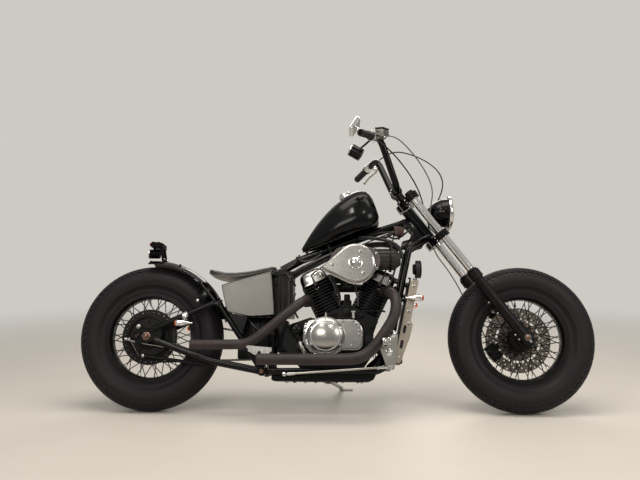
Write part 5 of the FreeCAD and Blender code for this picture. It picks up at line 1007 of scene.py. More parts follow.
shape = bmesh.new()
for side in (-forkPlan["spacing"], forkPlan["spacing"]):
    cap = disc(20.5, 5, 32, 1.2)
    crown = max(cap.faces, key=lambda face: face.calc_center_median().z)
    bmesh.ops.inset_region(cap, faces=[crown], thickness=7.5, depth=0)
    bmesh.ops.inset_region(cap, faces=[crown], thickness=0.6, depth=-3.4)
    addPart(shape, cap, onFork(forkPlan["top"], side), upFork)
    addPart(shape, disc(8.5, 6, 6, 0.8), onFork(forkPlan["top"] + 2, side), upFork)
    addPart(shape, spun([(33.2, 0), (34.4, 1), (34.4, 4), (33.2, 5)], 40),
            onFork(forkPlan["upperClamp"] + 9, side), upFork)
makePiece("forkCaps", shape, "gloss", "steered_front")
makePiece("stemNut", joined(
    (disc(22, 3, 32, 0.8), onFork(875, 0, 40), upFork),
    (disc(18, 14, 6, 1.6), onFork(877, 0, 40), upFork),
    (spun([(13, 0), (12, 3), (8, 5), (0, 6)], 28), onFork(890, 0, 40), upFork)), "chrome",
          "steered_front")
shape = bmesh.new()
for low in (644.5, 828):
    addPart(shape, spun([(29.3, 0), (31.6, 1), (31.6, 5.5), (29.3, 6.5)], 40), onFork(low, 0, 40), upFork)
makePiece("headBearingCups", shape, "zinc")
shape = bmesh.new()
for side in (-1, 1):
    addPart(shape, domeNut(15, 15), frontAxle + left * (side * 138), left * side)
makePiece("frontAxleCaps", shape, "copperedSteel", "steered_front")
print("fork details")


# Handlebar: ribbed grips, throttle, master cylinder with its lid and sight glass, perches and levers
gripEnds = {side: Vector((1009, side * 380, 1265)) for side in (-1, 1)}
inwards = {side: (Vector((1112, side * 168, 1312)) - gripEnds[side]).normalized() for side in (-1, 1)}
aheads = {side: (ahead - inwards[side] * inwards[side].x).normalized() for side in (-1, 1)}
aboves = {side: aheads[side].cross(inwards[side]) * -side for side in (-1, 1)}
handPlan = {"ribs": 15, "ribPitch": 6.7, "leverReach": 168, "setback": 48, "brakeClamp": 165, "clutchClamp": 150}
brakeClamp, clutchClamp = handPlan["brakeClamp"], handPlan["clutchClamp"]


def onBar(side, along, forward=0.0, rise=0.0):
    return gripEnds[side] + inwards[side] * along + aheads[side] * forward + aboves[side] * rise


gripProfile = [(12.7, 0.3), (15.5, 0.3), (17.4, 2.0), (17.4, 6.0)]
for index in range(handPlan["ribs"]):
    low = 8 + index * handPlan["ribPitch"]
    gripProfile += [(16.2, low), (16.2, low + 1.4), (17.4, low + 2.4), (17.4, low + 5.2)]
gripProfile += [(16.6, 111), (18.5, 112.4), (21.8, 113.4), (21.8, 116.8), (20.5, 117.8), (12.7, 117.8)]
shape = bmesh.new()
for side in (-1, 1):
    addPart(shape, spun(gripProfile, 28), gripEnds[side], inwards[side])
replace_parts(makePiece("ribbedGrips", shape, "grip", "steered_front"), "grips")
shape = bmesh.new()
for side in (-1, 1):
    addPart(shape, spun([(0, 3), (7, 3), (7.6, 1.6), (12.4, 1.6), (12.4, 5), (0, 5)], 24),
            gripEnds[side], inwards[side])
makePiece("barEnds", shape, "satin", "steered_front")

shape, bodyCasting, fasteners = bmesh.new(), bmesh.new(), bmesh.new()
addPart(shape, spun([(17.4, 0), (22.5, 0), (24, 2), (24, 8), (22.6, 9.5), (22.6, 12.5), (24, 14), (24, 20),
                     (22.5, 22), (17.4, 22), (17.4, 0)], 36), onBar(-1, 120.3), inwards[-1])
addPart(shape, rod(onBar(-1, 131, 4, -18), onBar(-1, 131, 10, -34), 5, 4, 12))
makePiece("throttleRing", shape, "chrome", "steered_front")
clampFace = facing(onBar(-1, brakeClamp), inwards[-1])
clampProfile = [(17.3, -15), (20, -15), (21, -14), (21, 14), (20, 15), (17.3, 15), (17.3, -15)]
addPart(bodyCasting, spun(clampProfile, 32), clampFace)
addPart(bodyCasting, box((76, 44, 34), 7, 3), onBar(-1, brakeClamp, 40, 15), aboves[-1], aheads[-1])
addPart(bodyCasting, rod(onBar(-1, brakeClamp + 40, 34), onBar(-1, brakeClamp - 25, 34), 12, 12, 20))
addPart(bodyCasting, box((26, 30, 24), 5, 2), onBar(-1, brakeClamp, 24, 4), aboves[-1], aheads[-1])
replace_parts(makePiece("frontMasterCylinder", bodyCasting, "castAluminium", "steered_front"),
            "brake_control")
makePiece("masterCylinderLid", joined(
    (box((78, 46, 7), 3, 2), onBar(-1, brakeClamp, 40, 35), aboves[-1], aheads[-1])), "satin",
          "steered_front")
makePiece("fluidSightGlass", joined(
    (spun([(0, 0), (6.2, 0), (6.2, 1.6), (4.8, 2.4), (0, 2.4)], 20), onBar(-1, brakeClamp - 15, 18.4, 16),
     -aheads[-1], aboves[-1])), "glass", "steered_front")
for along in (brakeClamp - 28, brakeClamp + 28):
    addPart(fasteners, socketBolt(3.2, 2.4), onBar(-1, along, 40, 38.2), aboves[-1])
for rise in (-9, 9):
    for along in (brakeClamp - 8, brakeClamp + 8):
        addPart(fasteners, socketBolt(3.4, 4), onBar(-1, along, -20, rise), -aheads[-1])


def leverBlade(side, pivotAlong):
    # A flat tapering blade with a waist behind the pivot and a ball at its tip
    pivot = onBar(side, pivotAlong, handPlan["setback"])
    tip = onBar(side, pivotAlong - handPlan["leverReach"], handPlan["setback"] + 10)
    blade = bmesh.new()
    addPart(blade, cord([pivot, pivot.lerp(tip, 0.12) + aheads[side] * 8, pivot.lerp(tip, 0.3) + aheads[side] * 5,
                         pivot.lerp(tip, 0.6) - aheads[side] * 3, pivot.lerp(tip, 0.85) + aheads[side], tip],
                        5.8, 6, 3))
    ball = bmesh.new()
    bmesh.ops.create_uvsphere(ball, u_segments=20, v_segments=12, radius=8.6)
    addPart(blade, ball, at(tip))
    addPart(blade, disc(11, 11, 24, 1.6), pivot - aboves[side] * 5.5, aboves[side])
    return blade


makePiece("brakeLever", leverBlade(-1, brakeClamp + 2), "polished", "steered_front")
makePiece("clutchLever", leverBlade(1, clutchClamp), "polished", "steered_front")
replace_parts(makePiece("clutchPerch", joined(
    (spun([(17.3, -22), (20, -22), (21, -20.5), (21, 20.5), (20, 22), (17.3, 22), (17.3, -22)], 32),
     onBar(1, clutchClamp), inwards[1]),
    (rod(onBar(1, clutchClamp, 18), onBar(1, clutchClamp, 47), 11, 9, 18),),
    (box((20, 40, 18), 3), onBar(1, clutchClamp + 8, 34), aboves[1], aheads[1]),
    (rod(onBar(1, clutchClamp + 16, 42), onBar(1, clutchClamp + 46, 48), 6, 6, 14),)), "chrome",
                      "steered_front"), "clutch_control")
addPart(fasteners, spun([(3, 0), (7, 0), (7.6, 2), (7.6, 8), (7, 10), (3, 10), (3, 0)], 20),
        onBar(1, clutchClamp + 36, 46), inwards[1])
for side, along in ((-1, brakeClamp + 2), (1, clutchClamp)):
    addPart(fasteners, hexBolt(11, 6), onBar(side, along, 48, 6), aboves[side])
    addPart(fasteners, hexBolt(9, 5), onBar(side, along, 48, -6), -aboves[side])
for along in (clutchClamp - 8, clutchClamp + 8):
    addPart(fasteners, socketBolt(3.4, 4), onBar(1, along, -20, 0), -aheads[1])
makePiece("controlScrews", fasteners, "zinc", "steered_front")
print("hand controls")


# Cables and hoses that turn with the fork, each a smooth run from fitting to fitting
cablePlan = {
    "brakeHoseUpper": (3.0, "hose", [
        (1120, -226, 1304), (1152, -218, 1309), (1196, -200, 1300), (1246, -162, 1266), (1306, -104, 1214),
        (1354, -66, 1148), (1378, -50, 1076), (1364, -48, 1000), (1354, -48, 920), (1374, -48, 880),
        (1403, -48, 855)]),
    "brakeHoseLower": (3.0, "hose", [
        (1384, 50, 816), (1392, 56, 792), (1412, 66, 760), (1452, 86, 714), (1500, 100, 642), (1542, 104, 556),
        (1594, 98, 456), (1630, 90, 380), (1652, 80, 318)]),
    "clutchCable": (3.4, "sheath", [
        (1092, 256, 1294), (1106, 256, 1316), (1134, 248, 1342), (1172, 228, 1364), (1226, 182, 1364),
        (1304, 118, 1320), (1382, 64, 1258), (1432, 42, 1192), (1444, 46, 1124), (1406, 64, 1036),
        (1360, 66, 940), (1370, 60, 890), (1403, 50, 855)]),
    "throttleCable": (3.4, "sheath", [
        (1078, -268, 1284), (1096, -252, 1272), (1134, -218, 1254), (1194, -150, 1220), (1270, -80, 1142),
        (1314, -42, 1068), (1334, -28, 990), (1350, -26, 914), (1372, -24, 880), (1403, -24, 855)])}
fittings = bmesh.new()
for cableName, (radius, look, route) in cablePlan.items():
    places = [Vector(place) for place in route]
    shape = bmesh.new()
    addPart(shape, cord(places, radius, 8))
    piece = makePiece(cableName, shape, look, "steered_front")
    if cableName == "brakeHoseUpper":
        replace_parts(piece, "control_cables")
    for first, second in ((places[0], places[1]), (places[-1], places[-2])):
        run = (second - first).normalized()
        addPart(fittings, rod(first, first + run * 16, radius + 2.2, radius + 1.6, 12))
        addPart(fittings, disc(radius + 3.6, 5, 6, 0.5), first + run * 6, run)
makePiece("cableEnds", fittings, "zinc", "steered_front")
print("cables")


# Mirror and speedometer
mirrorPlan = {"place": Vector((985, -262, 1338)), "tilt": math.radians(35)}
toRider = Vector((-math.cos(mirrorPlan["tilt"]), 0, math.sin(mirrorPlan["tilt"])))
makePiece("mirrorGlass", joined(
    (box((108, 57, 1.6), 0.7), mirrorPlan["place"] + toRider * 11.4, toRider)), "mirror",
          "steered_front")
makePiece("mirrorNuts", joined(
    (disc(7.5, 12, 18, 1.5), mirrorPlan["place"] - toRider * 4 + Vector((6, 4, -6)), (0.6, 0.35, -0.72)),
    (disc(8, 9, 6, 1), onBar(-1, brakeClamp, 2, 18), (-0.75, -0.2, 0.62))), "chrome", "steered_front")
speedoPlan = {"place": Vector((992, -225, 1222)), "tilt": math.radians(30)}
speedoAxis = Vector((-math.cos(speedoPlan["tilt"]), 0, math.sin(speedoPlan["tilt"])))
speedoFace = facing(speedoPlan["place"] + speedoAxis * 29, speedoAxis)
makePiece("speedometerBezel", joined(
    (spun([(31.2, -5), (32.4, -4), (32.4, -1), (31.6, 1.6), (28.5, 2.6), (27.5, 2), (27.5, 0.4), (31.2, 0.4),
           (31.2, -5)], 56), speedoFace)), "chrome", "steered_front")
makePiece("speedometerRing", joined(
    (spun([(31.2, -44), (32, -43), (32, -39), (31.2, -38)], 56), speedoFace)), "satin",
          "steered_front")
shape = bmesh.new()
for index in range(25):
    angle = math.radians(-125 + index * 250 / 24)
    length = 5.5 if index % 4 == 0 else 3
    spot = Vector((math.sin(angle), math.cos(angle), 0))
    addPart(shape, box((0.9, length, 0.5)), speedoFace @ at(spot * (25 - length / 2) + Vector((0, 0, 0.8)))
            @ Matrix.Rotation(-angle, 4, "Z"))
addPart(shape, box((1.4, 20, 0.6), 0.2), speedoFace @ Matrix.Rotation(math.radians(125), 4, "Z")
        @ at((0, 9, 1.4)))
addPart(shape, disc(3.4, 1.8, 16, 0.4), speedoFace @ at((0, 0, 0.6)))
makePiece("speedometerScale", shape, "whiteInk", "steered_front")
makePiece("speedometerGlass", joined(
    (spun([(0, 2.6), (16, 2.4), (27.4, 1.8), (27.4, 1.2), (0, 1.9)], 40), speedoFace)), "glass",
          "steered_front")
print("mirror and speedometer")


# Headlamp: chrome rim with its clamp screw, fluted glass, reflector and bulb
lampPlan = {"face": Vector((1468, 0, 976)), "radius": 74, "bulge": 16, "glass": 3}
lampFace = facing(lampPlan["face"], ahead)
makePiece("headlampRim", joined(
    (spun([(82.2, -14.6), (83.4, -14), (84.2, -9), (83.6, -3), (81, 1.6), (77.5, 2.6), (74.6, 1.4), (73.4, -1.5),
           (73.4, -6), (82.2, -6), (82.2, -14.6)], 96), lampFace),
    (socketBolt(4.2, 5), lampPlan["face"] + Vector((-10, 0, -83)), -up),
    (box((11, 9, 8), 1.5), lampPlan["face"] + Vector((-9, 0, -83)), -up)), "chrome", "steered_front")
sphere = (lampPlan["radius"] ** 2 + lampPlan["bulge"] ** 2) / (2 * lampPlan["bulge"])
dome = [(radius, lampPlan["bulge"] - sphere + math.sqrt(sphere ** 2 - radius ** 2)) for radius in range(0, 73, 6)]
dome += [(radius, height - lampPlan["glass"]) for radius, height in reversed(dome)]
glass = makePiece("headlampGlass", joined((spun(dome, 80), lampFace)), "fluted", "steered_front")
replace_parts(glass, "headlamp_lens")
makePiece("headlampReflector", joined(
    (spun([(73, -6.2), (71, -6.4), (66, -6.6), (50, -6.8), (48, -6.9), (24, -6.9), (20, -6.9), (0, -6.9)], 80),
     lampFace),
    (spun([(15, -6.4), (15, -2), (11, 2), (0, 4)], 32), lampFace)), "chrome", "steered_front")
shape = bmesh.new()
bowl = facing(lampPlan["face"], -ahead)
addPart(shape, spun([(27, 104), (30, 106), (27, 112), (16, 115), (12, 113), (12, 108)], 40), bowl)
addPart(shape, spun([(69, 50), (70.6, 52), (69, 54)], 72), bowl)
for side in (-1, 1):
    addPart(shape, domeNut(9, 12), lampPlan["face"] + Vector((-34, side * 73, 0)), left * side)
makePiece("headlampFittings", shape, "satin", "steered_front")
print("headlamp")


# Front brake caliper: pins, piston caps, bleed nipple and pads
caliperMiddle = frontAxle + behindFork * 131 + upFork * 27
shape = bmesh.new()
for step in (-24, 24):
    addPart(shape, hexBolt(12, 8), caliperMiddle + upFork * step + left * 91, left)
    addPart(shape, disc(15, 4, 24, 1.2), caliperMiddle + upFork * step * 0.7 + left * 90 + behindFork * 6, left)
addPart(shape, hexBolt(13, 9), caliperMiddle + upFork * 41 + left * 78, upFork)
addPart(shape, rod(caliperMiddle + behindFork * 27 + left * 80 + upFork * 20,
                   caliperMiddle + behindFork * 38 + left * 80 + upFork * 24, 3.6, 2.6, 10))
makePiece("caliperBolts", shape, "zinc", "steered_front")
shape = bmesh.new()
for y in (52, 64.4):
    addPart(shape, box((56, 26, 5), 1), caliperMiddle + left * y - behindFork * 2, left, behindFork)
makePiece("brakePads", shape, "casting", "steered_front")
print("front brake")


# Rocker covers: a deep rounded chrome cap on each cylinder over a polished flange
rockerPlan = {"base": 352, "halfLength": 68, "halfWidth": 59, "height": 72, "roundness": 3.6, "flange": 9}
covers, flanges = bmesh.new(), bmesh.new()
for way in (-1, 1):
    cap = bmesh.new()
    bmesh.ops.create_uvsphere(cap, u_segments=48, v_segments=28, radius=1)
    half = Vector((rockerPlan["halfWidth"], rockerPlan["halfLength"], rockerPlan["height"] - 6))
    for vert in cap.verts:
        size = sum(abs(share) ** rockerPlan["roundness"] for share in vert.co) ** (1 / rockerPlan["roundness"])
        vert.co = Vector([share / size * reach for share, reach in zip(vert.co, half)])
    whole = cap.verts[:] + cap.edges[:] + cap.faces[:]
    bmesh.ops.bisect_plane(cap, geom=whole, dist=0.01, plane_co=(0, 0, 0), plane_no=(0, 0, -1), clear_outer=True)
    addPart(covers, cap, onCylinder(way, rockerPlan["base"] + 6), cylinderAxis(way), ahead)
    lip = box((rockerPlan["halfWidth"] * 2 + 4, rockerPlan["halfLength"] * 2 + 4, rockerPlan["flange"]))
    rounded(lip, [line for line in lip.edges if abs(line.verts[0].co.z - line.verts[1].co.z) > 1], 26, 6)
    addPart(flanges, lip, onCylinder(way, rockerPlan["base"] + 4.5), cylinderAxis(way), ahead)
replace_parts(makePiece("rockerDomes", covers, "engineCover", sharp=60), "rocker_covers")
makePiece("rockerFlanges", flanges, "polished", bevel=0.8)

# Right cover: a flat-faced casting with a round front end, its rim rounded over in one sweep
coverOutline = [(742, 404), (768, 426), (800, 433)]
coverOutline += [(968 + 58 * math.sin(math.radians(turn)), 371 + 62 * math.cos(math.radians(turn)))
                 for turn in range(0, 91, 9)]
coverOutline += [(986 + 40 * math.cos(math.radians(turn)), 330 - 44 * math.sin(math.radians(turn)))
                 for turn in range(0, 91, 10)]
coverOutline += [(800, 288), (756, 296), (740, 330)]
shape = plate([(-z, x) for x, z in coverOutline], 36)
breakTop(shape, 36, 11, 5)
shell = joined((shape, (0, -112, 0), right, ahead))
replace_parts(makePiece("rightCoverShell", shell, "engineCover", sharp=50), "right_engine_cover")


# Between the cylinders: carburettor bowl, inlet stub, a ribbed valley casting and the hoses that drop there
shape = bmesh.new()
addPart(shape, spun([(0, -38), (24, -38), (30, -32), (33, -20), (33, -4), (38, -2), (38, 6), (33, 9), (33, 34),
                     (0, 36)], 40), (948, -66, 634), up)
addPart(shape, box((72, 76, 26), 5), at((950, -60, 664)))
addPart(shape, box((52, 86, 66), 7), at((946, -8, 500)))
addPart(shape, box((30, 70, 34), 6), at((950, -14, 545)))
for index in range(6):
    addPart(shape, box((4, 96, 58), 1.2), at((928 + index * 8, -8, 504)))
addPart(shape, box((140, 34, 44), 10), at((900, -20, 640)))
makePiece("carburettorBowl", shape, "casting")
shape = bmesh.new()
addCords(shape, (
    (7, ((884, -96, 640), (892, -90, 606), (906, -84, 574), (916, -80, 540), (912, -84, 500))),
    (5, ((985, -92, 640), (988, -88, 610), (990, -84, 576), (1002, -82, 540), (1000, -90, 498))),
    (6, ((862, -70, 640), (880, -78, 612), (892, -80, 584), (898, -80, 552))),
    (9, ((1008, -58, 838), (1061, -62, 838), (1132, -66, 828), (1185, -66, 808), (1212, -70, 776),
         (1218, -74, 735))),
    (6, ((1196, -52, 872), (1166, -56, 856), (1140, -58, 838), (1100, -58, 834))),
    (5, ((1146, -50, 850), (1176, -50, 834), (1206, -54, 838), (1236, -50, 862), (1262, -44, 886))),
    (5, ((702, -66, 740), (720, -70, 720), (748, -74, 716), (790, -76, 730), (824, -70, 752))),
    (4, ((718, -60, 752), (706, -64, 730), (690, -70, 700), (672, -74, 690), (650, -76, 672))),
    (5, ((1130, -70, 560), (1152, -84, 600), (1170, -80, 640), (1184, -74, 690))),
    (5, ((700, -80, 560), (690, -92, 520), (694, -96, 480), (716, -98, 440)))))
makePiece("engineHoses", shape, "sheath")


# Clutch ring, cylinder base rings, bosses on the cases and the pump's elbow
shape = bmesh.new()
ringFace = facing((847, -147, 346), right)
addPart(shape, spun([(84, 0), (84, 9), (86.5, 12), (88, 12.6), (88, 9.5), (91.5, 9.5), (91.5, 12.6), (94.5, 12),
                     (96.5, 8), (96.5, 0)], 96), ringFace)
makePiece("clutchRing", shape, "chrome")
shape = bmesh.new()
addPart(shape, spun([(88.2, 9.8), (89.7, 10.3), (91.3, 9.8)], 96), ringFace)
bmesh.ops.solidify(shape, geom=shape.faces[:], thickness=0.6)
addPart(shape, spun([(80, 14), (81.6, 16.4), (83.6, 14)], 96), (848, -148, 352), right)
makePiece("clutchRingGroove", shape, "casting")

shape = bmesh.new()
for way in (-1, 1):
    addPart(shape, spun([(60, 0), (76, 0), (76, 9), (72, 12), (60, 12)], 56),
            onCylinder(way, 176), cylinderAxis(way))
    for side in (-1, 1):
        for across in (-52, 52):
            addPart(shape, hexBolt(13, 8), onCylinder(way, 187, across, side * 44), cylinderAxis(way))
for place, radius, depth in (((952, -106, 470), 22, 7), ((1016, -106, 452), 12, 10), ((890, -106, 462), 13, 9),
                             ((1052, -106, 330), 26, 8), ((1068, -106, 400), 12, 9), ((1046, -106, 262), 14, 10),
                             ((724, -106, 300), 17, 8), ((700, -106, 268), 11, 9)):
    addPart(shape, disc(radius, depth, 28, 2), place, right)
for index in range(6):
    addPart(shape, box((4, 8, 70), 1), at((1036 + index * 9, -108, 296 - index * 2)))
for place in ((972, -106, 496), (932, -106, 496), (1030, -106, 486)):
    addPart(shape, box((22, 10, 8), 2), at(place))
addPart(shape, rod((986, -150, 468), (1112, -150, 470), 2.4, 2.4, 10))
addPart(shape, rod((1112, -150, 470), (1126, -118, 470), 4.5, 4.5, 12))
for place in ((952, -113, 470), (1016, -116, 452), (890, -115, 462), (1068, -115, 400), (1046, -116, 262),
              (1052, -114, 330)):
    addPart(shape, hexBolt(11, 6), place, right)
makePiece("crankcaseBosses", shape, "casting")
makePiece("engineFittings", joined(
    (rod((978, -148, 436), (978, -150, 462), 9, 7, 18),),
    (disc(11, 7, 6, 0.8), (978, -150, 462), up),
    (rod((850, -146, 446), (850, -152, 462), 7, 5, 16),)), "chrome")
shape = bmesh.new()
addPart(shape, cord(((722, -118, 346), (726, -132, 330), (734, -138, 308), (748, -134, 284), (756, -126, 266)),
                    10, 6, 3))
for place in ((729, -134, 322), (737, -138, 302), (746, -135, 287)):
    addPart(shape, spun([(10.2, 0), (12.6, 1), (12.6, 5), (10.2, 6)], 24), place, (0.42, 0, -0.9))
makePiece("pumpElbows", shape, "zinc")
print("rocker covers and engine fittings")


# Exhaust: two smooth pipes with rolled ends, flanges with their nuts, and the hanger's bolts
pipePlan = {
    "rear": (23, ((770, -60, 520), (757, -92, 522), (747, -134, 519), (716, -160, 496), (636, -186, 424),
                  (560, -196, 360), (504, -200, 320), (466, -200.4, 309), (424, -200.4, 308), (340, -200.4, 307),
                  (228, -200.4, 306))),
    "front": (26, ((1124, -60, 570), (1146, -92, 566), (1163, -140, 552), (1176, -172, 524), (1176, -196, 478),
                   (1162, -206, 430), (1122, -211, 366), (1078, -214, 304), (1040, -216, 266), (996, -217.6, 247),
                   (946, -218, 242), (860, -218.4, 241), (700, -218.4, 241), (537, -218.4, 241)))}
pipes = bmesh.new()
for pipeName, (radius, route) in pipePlan.items():
    places = [Vector(place) for place in route]
    addPart(pipes, cord(places, radius, 9, 6))
    outward = (places[-1] - places[-2]).normalized()
    end = spun([(radius - 0.4, -4), (radius + 0.9, -3), (radius + 0.9, -0.6), (radius - 0.6, 0.6),
                (radius - 2.4, 0), (radius - 2.6, -6), (radius - 2.6, -60), (0, -60)], 40)
    addPart(pipes, end, places[-1] + outward * 0.6, outward)
exhaustPipes = makePiece("exhaustPipes", pipes, "heat", sharp=50)
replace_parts(exhaustPipes, "front_exhaust", "rear_exhaust")
shape, bolts = bmesh.new(), bmesh.new()
for way, pipeName in ((-1, "rear"), (1, "front")):
    radius, route = pipePlan[pipeName]
    places = [Vector(place) for place in route]
    port = (places[2] - places[1]).normalized()
    mouth = places[1].lerp(places[2], 0.1)
    addPart(shape, spun([(radius, 0), (radius + 7, 0), (radius + 7, 6), (radius + 4, 8), (radius, 8)], 36),
            mouth, port)
    for turn in (35, 215):
        spot = facing(mouth, port) @ Matrix.Rotation(math.radians(turn), 4, "Z")
        addPart(shape, box((20, 18, 7), 2), spot @ at((radius + 10, 0, 3.5)))
        addPart(bolts, hexBolt(12, 9), spot @ at((radius + 12, 0, 7)))
        addPart(bolts, disc(3.2, 17, 10), spot @ at((radius + 12, 0, 7)))
makePiece("exhaustFlanges", shape, "casting")
for x, z in ((489, 284), (548, 270), (604, 268)):
    addPart(bolts, hexBolt(12, 7), (x, -217, z), right)
makePiece("exhaustNuts", bolts, "casting")
print("exhaust")


# Tank: filler cap, fuel tap with its hose, short wires on the frame, and mounting bolts
tankPlan = {"tail": Vector((726, 0, 772)), "angle": math.radians(19.3), "length": 420}
tankAlong = Vector((math.cos(tankPlan["angle"]), 0, math.sin(tankPlan["angle"])))
tankAbove = Vector((-tankAlong.z, 0, tankAlong.x))
capPlace = tankPlan["tail"] + tankAlong * 300 + tankAbove * 200
shape = bmesh.new()
addPart(shape, spun([(33, -8), (33, 0), (31, 3), (28, 4), (28, 7), (30, 8.5), (30, 15), (27, 18.5), (18, 21),
                     (0, 22)], 48), capPlace, tankAbove)
for index in range(16):
    turn = facing(capPlace, tankAbove) @ Matrix.Rotation(math.radians(index * 22.5), 4, "Z")
    addPart(shape, box((2.4, 3.6, 6.4), 0.8), turn @ at((30.2, 0, 11.6)))
makePiece("fillerCap", shape, "chrome")
shape = bmesh.new()
tapPlace = Vector((858, -34, 806))
addPart(shape, disc(10, 8, 6, 1), tapPlace, -tankAbove)
addPart(shape, rod(tapPlace - tankAbove * 6, tapPlace - tankAbove * 34, 7, 6, 16))
addPart(shape, disc(9, 9, 20, 1.2), tapPlace - tankAbove * 20, right)
addPart(shape, box((24, 5, 6), 1.5), at(tapPlace - tankAbove * 20 + right * 12 + ahead * 6))
makePiece("fuelTap", shape, "casting")
makePiece("frameWiring", joined(
    (cord([tapPlace - tankAbove * 32, tapPlace - tankAbove * 48, (886, -46, 742), (918, -66, 724),
           (944, -86, 716)], 4.4, 8),),
    (cord([(1030, -40, 838), (1090, -52, 862), (1156, -56, 868), (1186, -58, 868)], 4, 8),),
    (cord([(1222, -40, 876), (1240, -34, 900), (1262, -30, 905), (1288, -26, 880)], 5, 8),)), "sheath")
shape = bmesh.new()
for share, side in ((0.06, -22), (0.06, 22), (0.93, -30), (0.93, 30)):
    addPart(shape, hexBolt(13, 7), tankPlan["tail"] + tankAlong * tankPlan["length"] * share + tankAbove * 2
            + left * side, -tankAbove)
makePiece("tankBolts", shape, "satin")
print("tank fittings")


# Frame: weld beads at the joints, brackets and their bolts
weldPlaces = [((1236, 0, 923.7), (165, 0, 54), 21)]
for side in (-1, 1):
    shoulder = Vector((1250, side * 76, 790))
    neckJoint = onFork(660, side * 24, 40)
    weldPlaces += [(neckJoint.lerp(shoulder, 0.12), shoulder - neckJoint, 16), ((590, side * 52, 212), up, 16),
                   ((606, side * 62, 664), (-254, 0, -108), 12.5), ((590, side * 78, 190), left * side, 14),
                   ((1068, side * 80, 196), left * side, 14)]
shape = bmesh.new()
for place, direction, radius in weldPlaces:
    addPart(shape, spun([(radius - 0.4, -4), (radius + 1.2, -3), (radius + 2.2, 0), (radius + 1.2, 3),
                         (radius - 0.4, 4)], 36), place, direction)
for side in (-1, 1):
    for x, z, direction, radius in ((332, 518, Vector((220, 0, -328)), 14),
                                    (552, 190, Vector((-252, 0, 48)), 17)):
        spot = Vector((x, side * 112, z)) + direction.normalized() * 22
        addPart(shape, spun([(radius - 0.4, -3.6), (radius + 1.1, -2.6), (radius + 2, 0), (radius + 1.1, 2.6),
                             (radius - 0.4, 3.6)], 32), spot, direction)
makePiece("weldBeads", shape, "gloss")
shape, bolts = bmesh.new(), bmesh.new()
for side in (-1, 1):
    outer = left * side
    addPart(shape, box((44, 40, 5), 1), (1142, side * 113, 262), outer, up)
    addPart(bolts, hexBolt(14, 9), (1142, side * 115.5, 262), outer)
    addPart(bolts, hexBolt(14, 9), (590, side * 93, 190), outer)
    addPart(bolts, domeNut(12, 12), (552, side * 140, 190), outer)
    adjuster = Vector((-26, side * 112, 350))
    addPart(bolts, rod(adjuster, adjuster - ahead * 38, 4, 4, 10))
    addPart(bolts, hexBolt(13, 7), adjuster - ahead * 20, -ahead)
    addPart(shape, box((8, 14, 30), 2), at(adjuster - ahead * 14))
    addPart(bolts, disc(20, 3, 28, 0.8), (0, side * 117.2, 350), outer)
    addPart(bolts, domeNut(17, 21), (0, side * 120, 350), outer)
    addPart(shape, box((30, 34, 4), 1), (418, side * 62, 588), up, ahead)
makePiece("frameBrackets", shape, "gloss")
makePiece("frameBolts", bolts, "copperedSteel")
print("frame details")


# Rear brake: cam arm, return spring, rod with its adjusting nut, and the panel's raised ring
shape, bolts = bmesh.new(), bmesh.new()
panelY = -64
addPart(shape, spun([(99.6, 0), (99.6, 5), (96, 7), (92.5, 5), (92.5, 0)], 96), (0, panelY, 350), right)
addPart(shape, spun([(58, 0), (56, 3), (40, 6), (33, 6), (33, 0)], 72), (0, panelY, 350), right)
for index in range(5):
    addPart(shape, box((34, 5, 5), 1.5), facing((0, panelY - 2, 350), right)
            @ Matrix.Rotation(math.radians(72 * index + 20), 4, "Z") @ at((74, 0, 0)))
makePiece("brakePanelRibs", shape, "satin")
camEnd = Vector((-90, -78, 340))
addPart(bolts, hexBolt(14, 8), (-50, -78, 400), right)
addPart(bolts, hexBolt(12, 8), (-20, -82, 260), right)
addPart(bolts, rod(camEnd + left * 4, camEnd - left * 10, 5, 5, 14))
rodRoute = [camEnd + Vector((-14, -4, -4)), camEnd + Vector((26, -4, -16)), Vector((60, -84, 306)),
            Vector((148, -86, 288)), Vector((210, -88, 268))]
addPart(bolts, cord(rodRoute, 3.4, 8))
addPart(bolts, disc(7.5, 13, 16, 1.5), camEnd + Vector((-22, -4, -2)), ahead)
spring = []
for index in range(64):
    share = index / 63
    spot = (camEnd + Vector((2, -6, -2))).lerp(Vector((-40, -84, 262)), share)
    spring.append(spot + Vector((0, 4.2 * math.cos(index * 0.9), 4.2 * math.sin(index * 0.9))))
addPart(bolts, cord(spring, 1.0, 3, 1))
makePiece("rearBrakeLinkage", bolts, "zinc")
print("rear brake")


# Lamps: amber lenses and chrome bands on the indicators, light strip and red lens at the tail
shape, bands, clamps = bmesh.new(), bmesh.new(), bmesh.new()
for side in (-1, 1):
    for tipX, z, way in ((214, 410, -1), (1232, 532, 1)):
        base = Vector((tipX + way * 66, side * 150, z))
        addPart(shape, spun([(14.2, -2), (14.4, 2), (13, 6.5), (9.5, 9.4), (4, 10.6), (0, 10.8)], 36),
                base, ahead * way)
        addPart(bands, spun([(15.1, -7), (16.2, -6), (16.2, -1), (15.4, 0.6), (14, 0.6), (14, -7), (15.1, -7)], 36),
                base, ahead * way)
        addPart(bands, spun([(3.6, 0), (5.2, -4), (4.2, -9), (0, -10.5)], 24), (tipX, side * 150, z), ahead * way)
        addPart(bands, spun([(3.2, 8), (4.8, 0), (3.4, -4), (0, -5)], 24), (tipX + way * 3, side * 150, z),
                ahead * way)
    addPart(clamps, spun([(14.2, -13), (17.4, -12), (17.4, 12), (14.2, 13), (14.2, -13)], 32),
            (181, side * 112, 451.6), (302, 0, 133))
    addPart(clamps, box((14, 22, 16), 2.5), (181, side * 130, 441), left * side, ahead)
    addPart(clamps, socketBolt(4.6, 5), (181, side * 141, 443), left * side)
makePiece("indicatorLenses", shape, "amber")
makePiece("indicatorBands", bands, "chrome")
makePiece("indicatorClamps", clamps, "chrome")
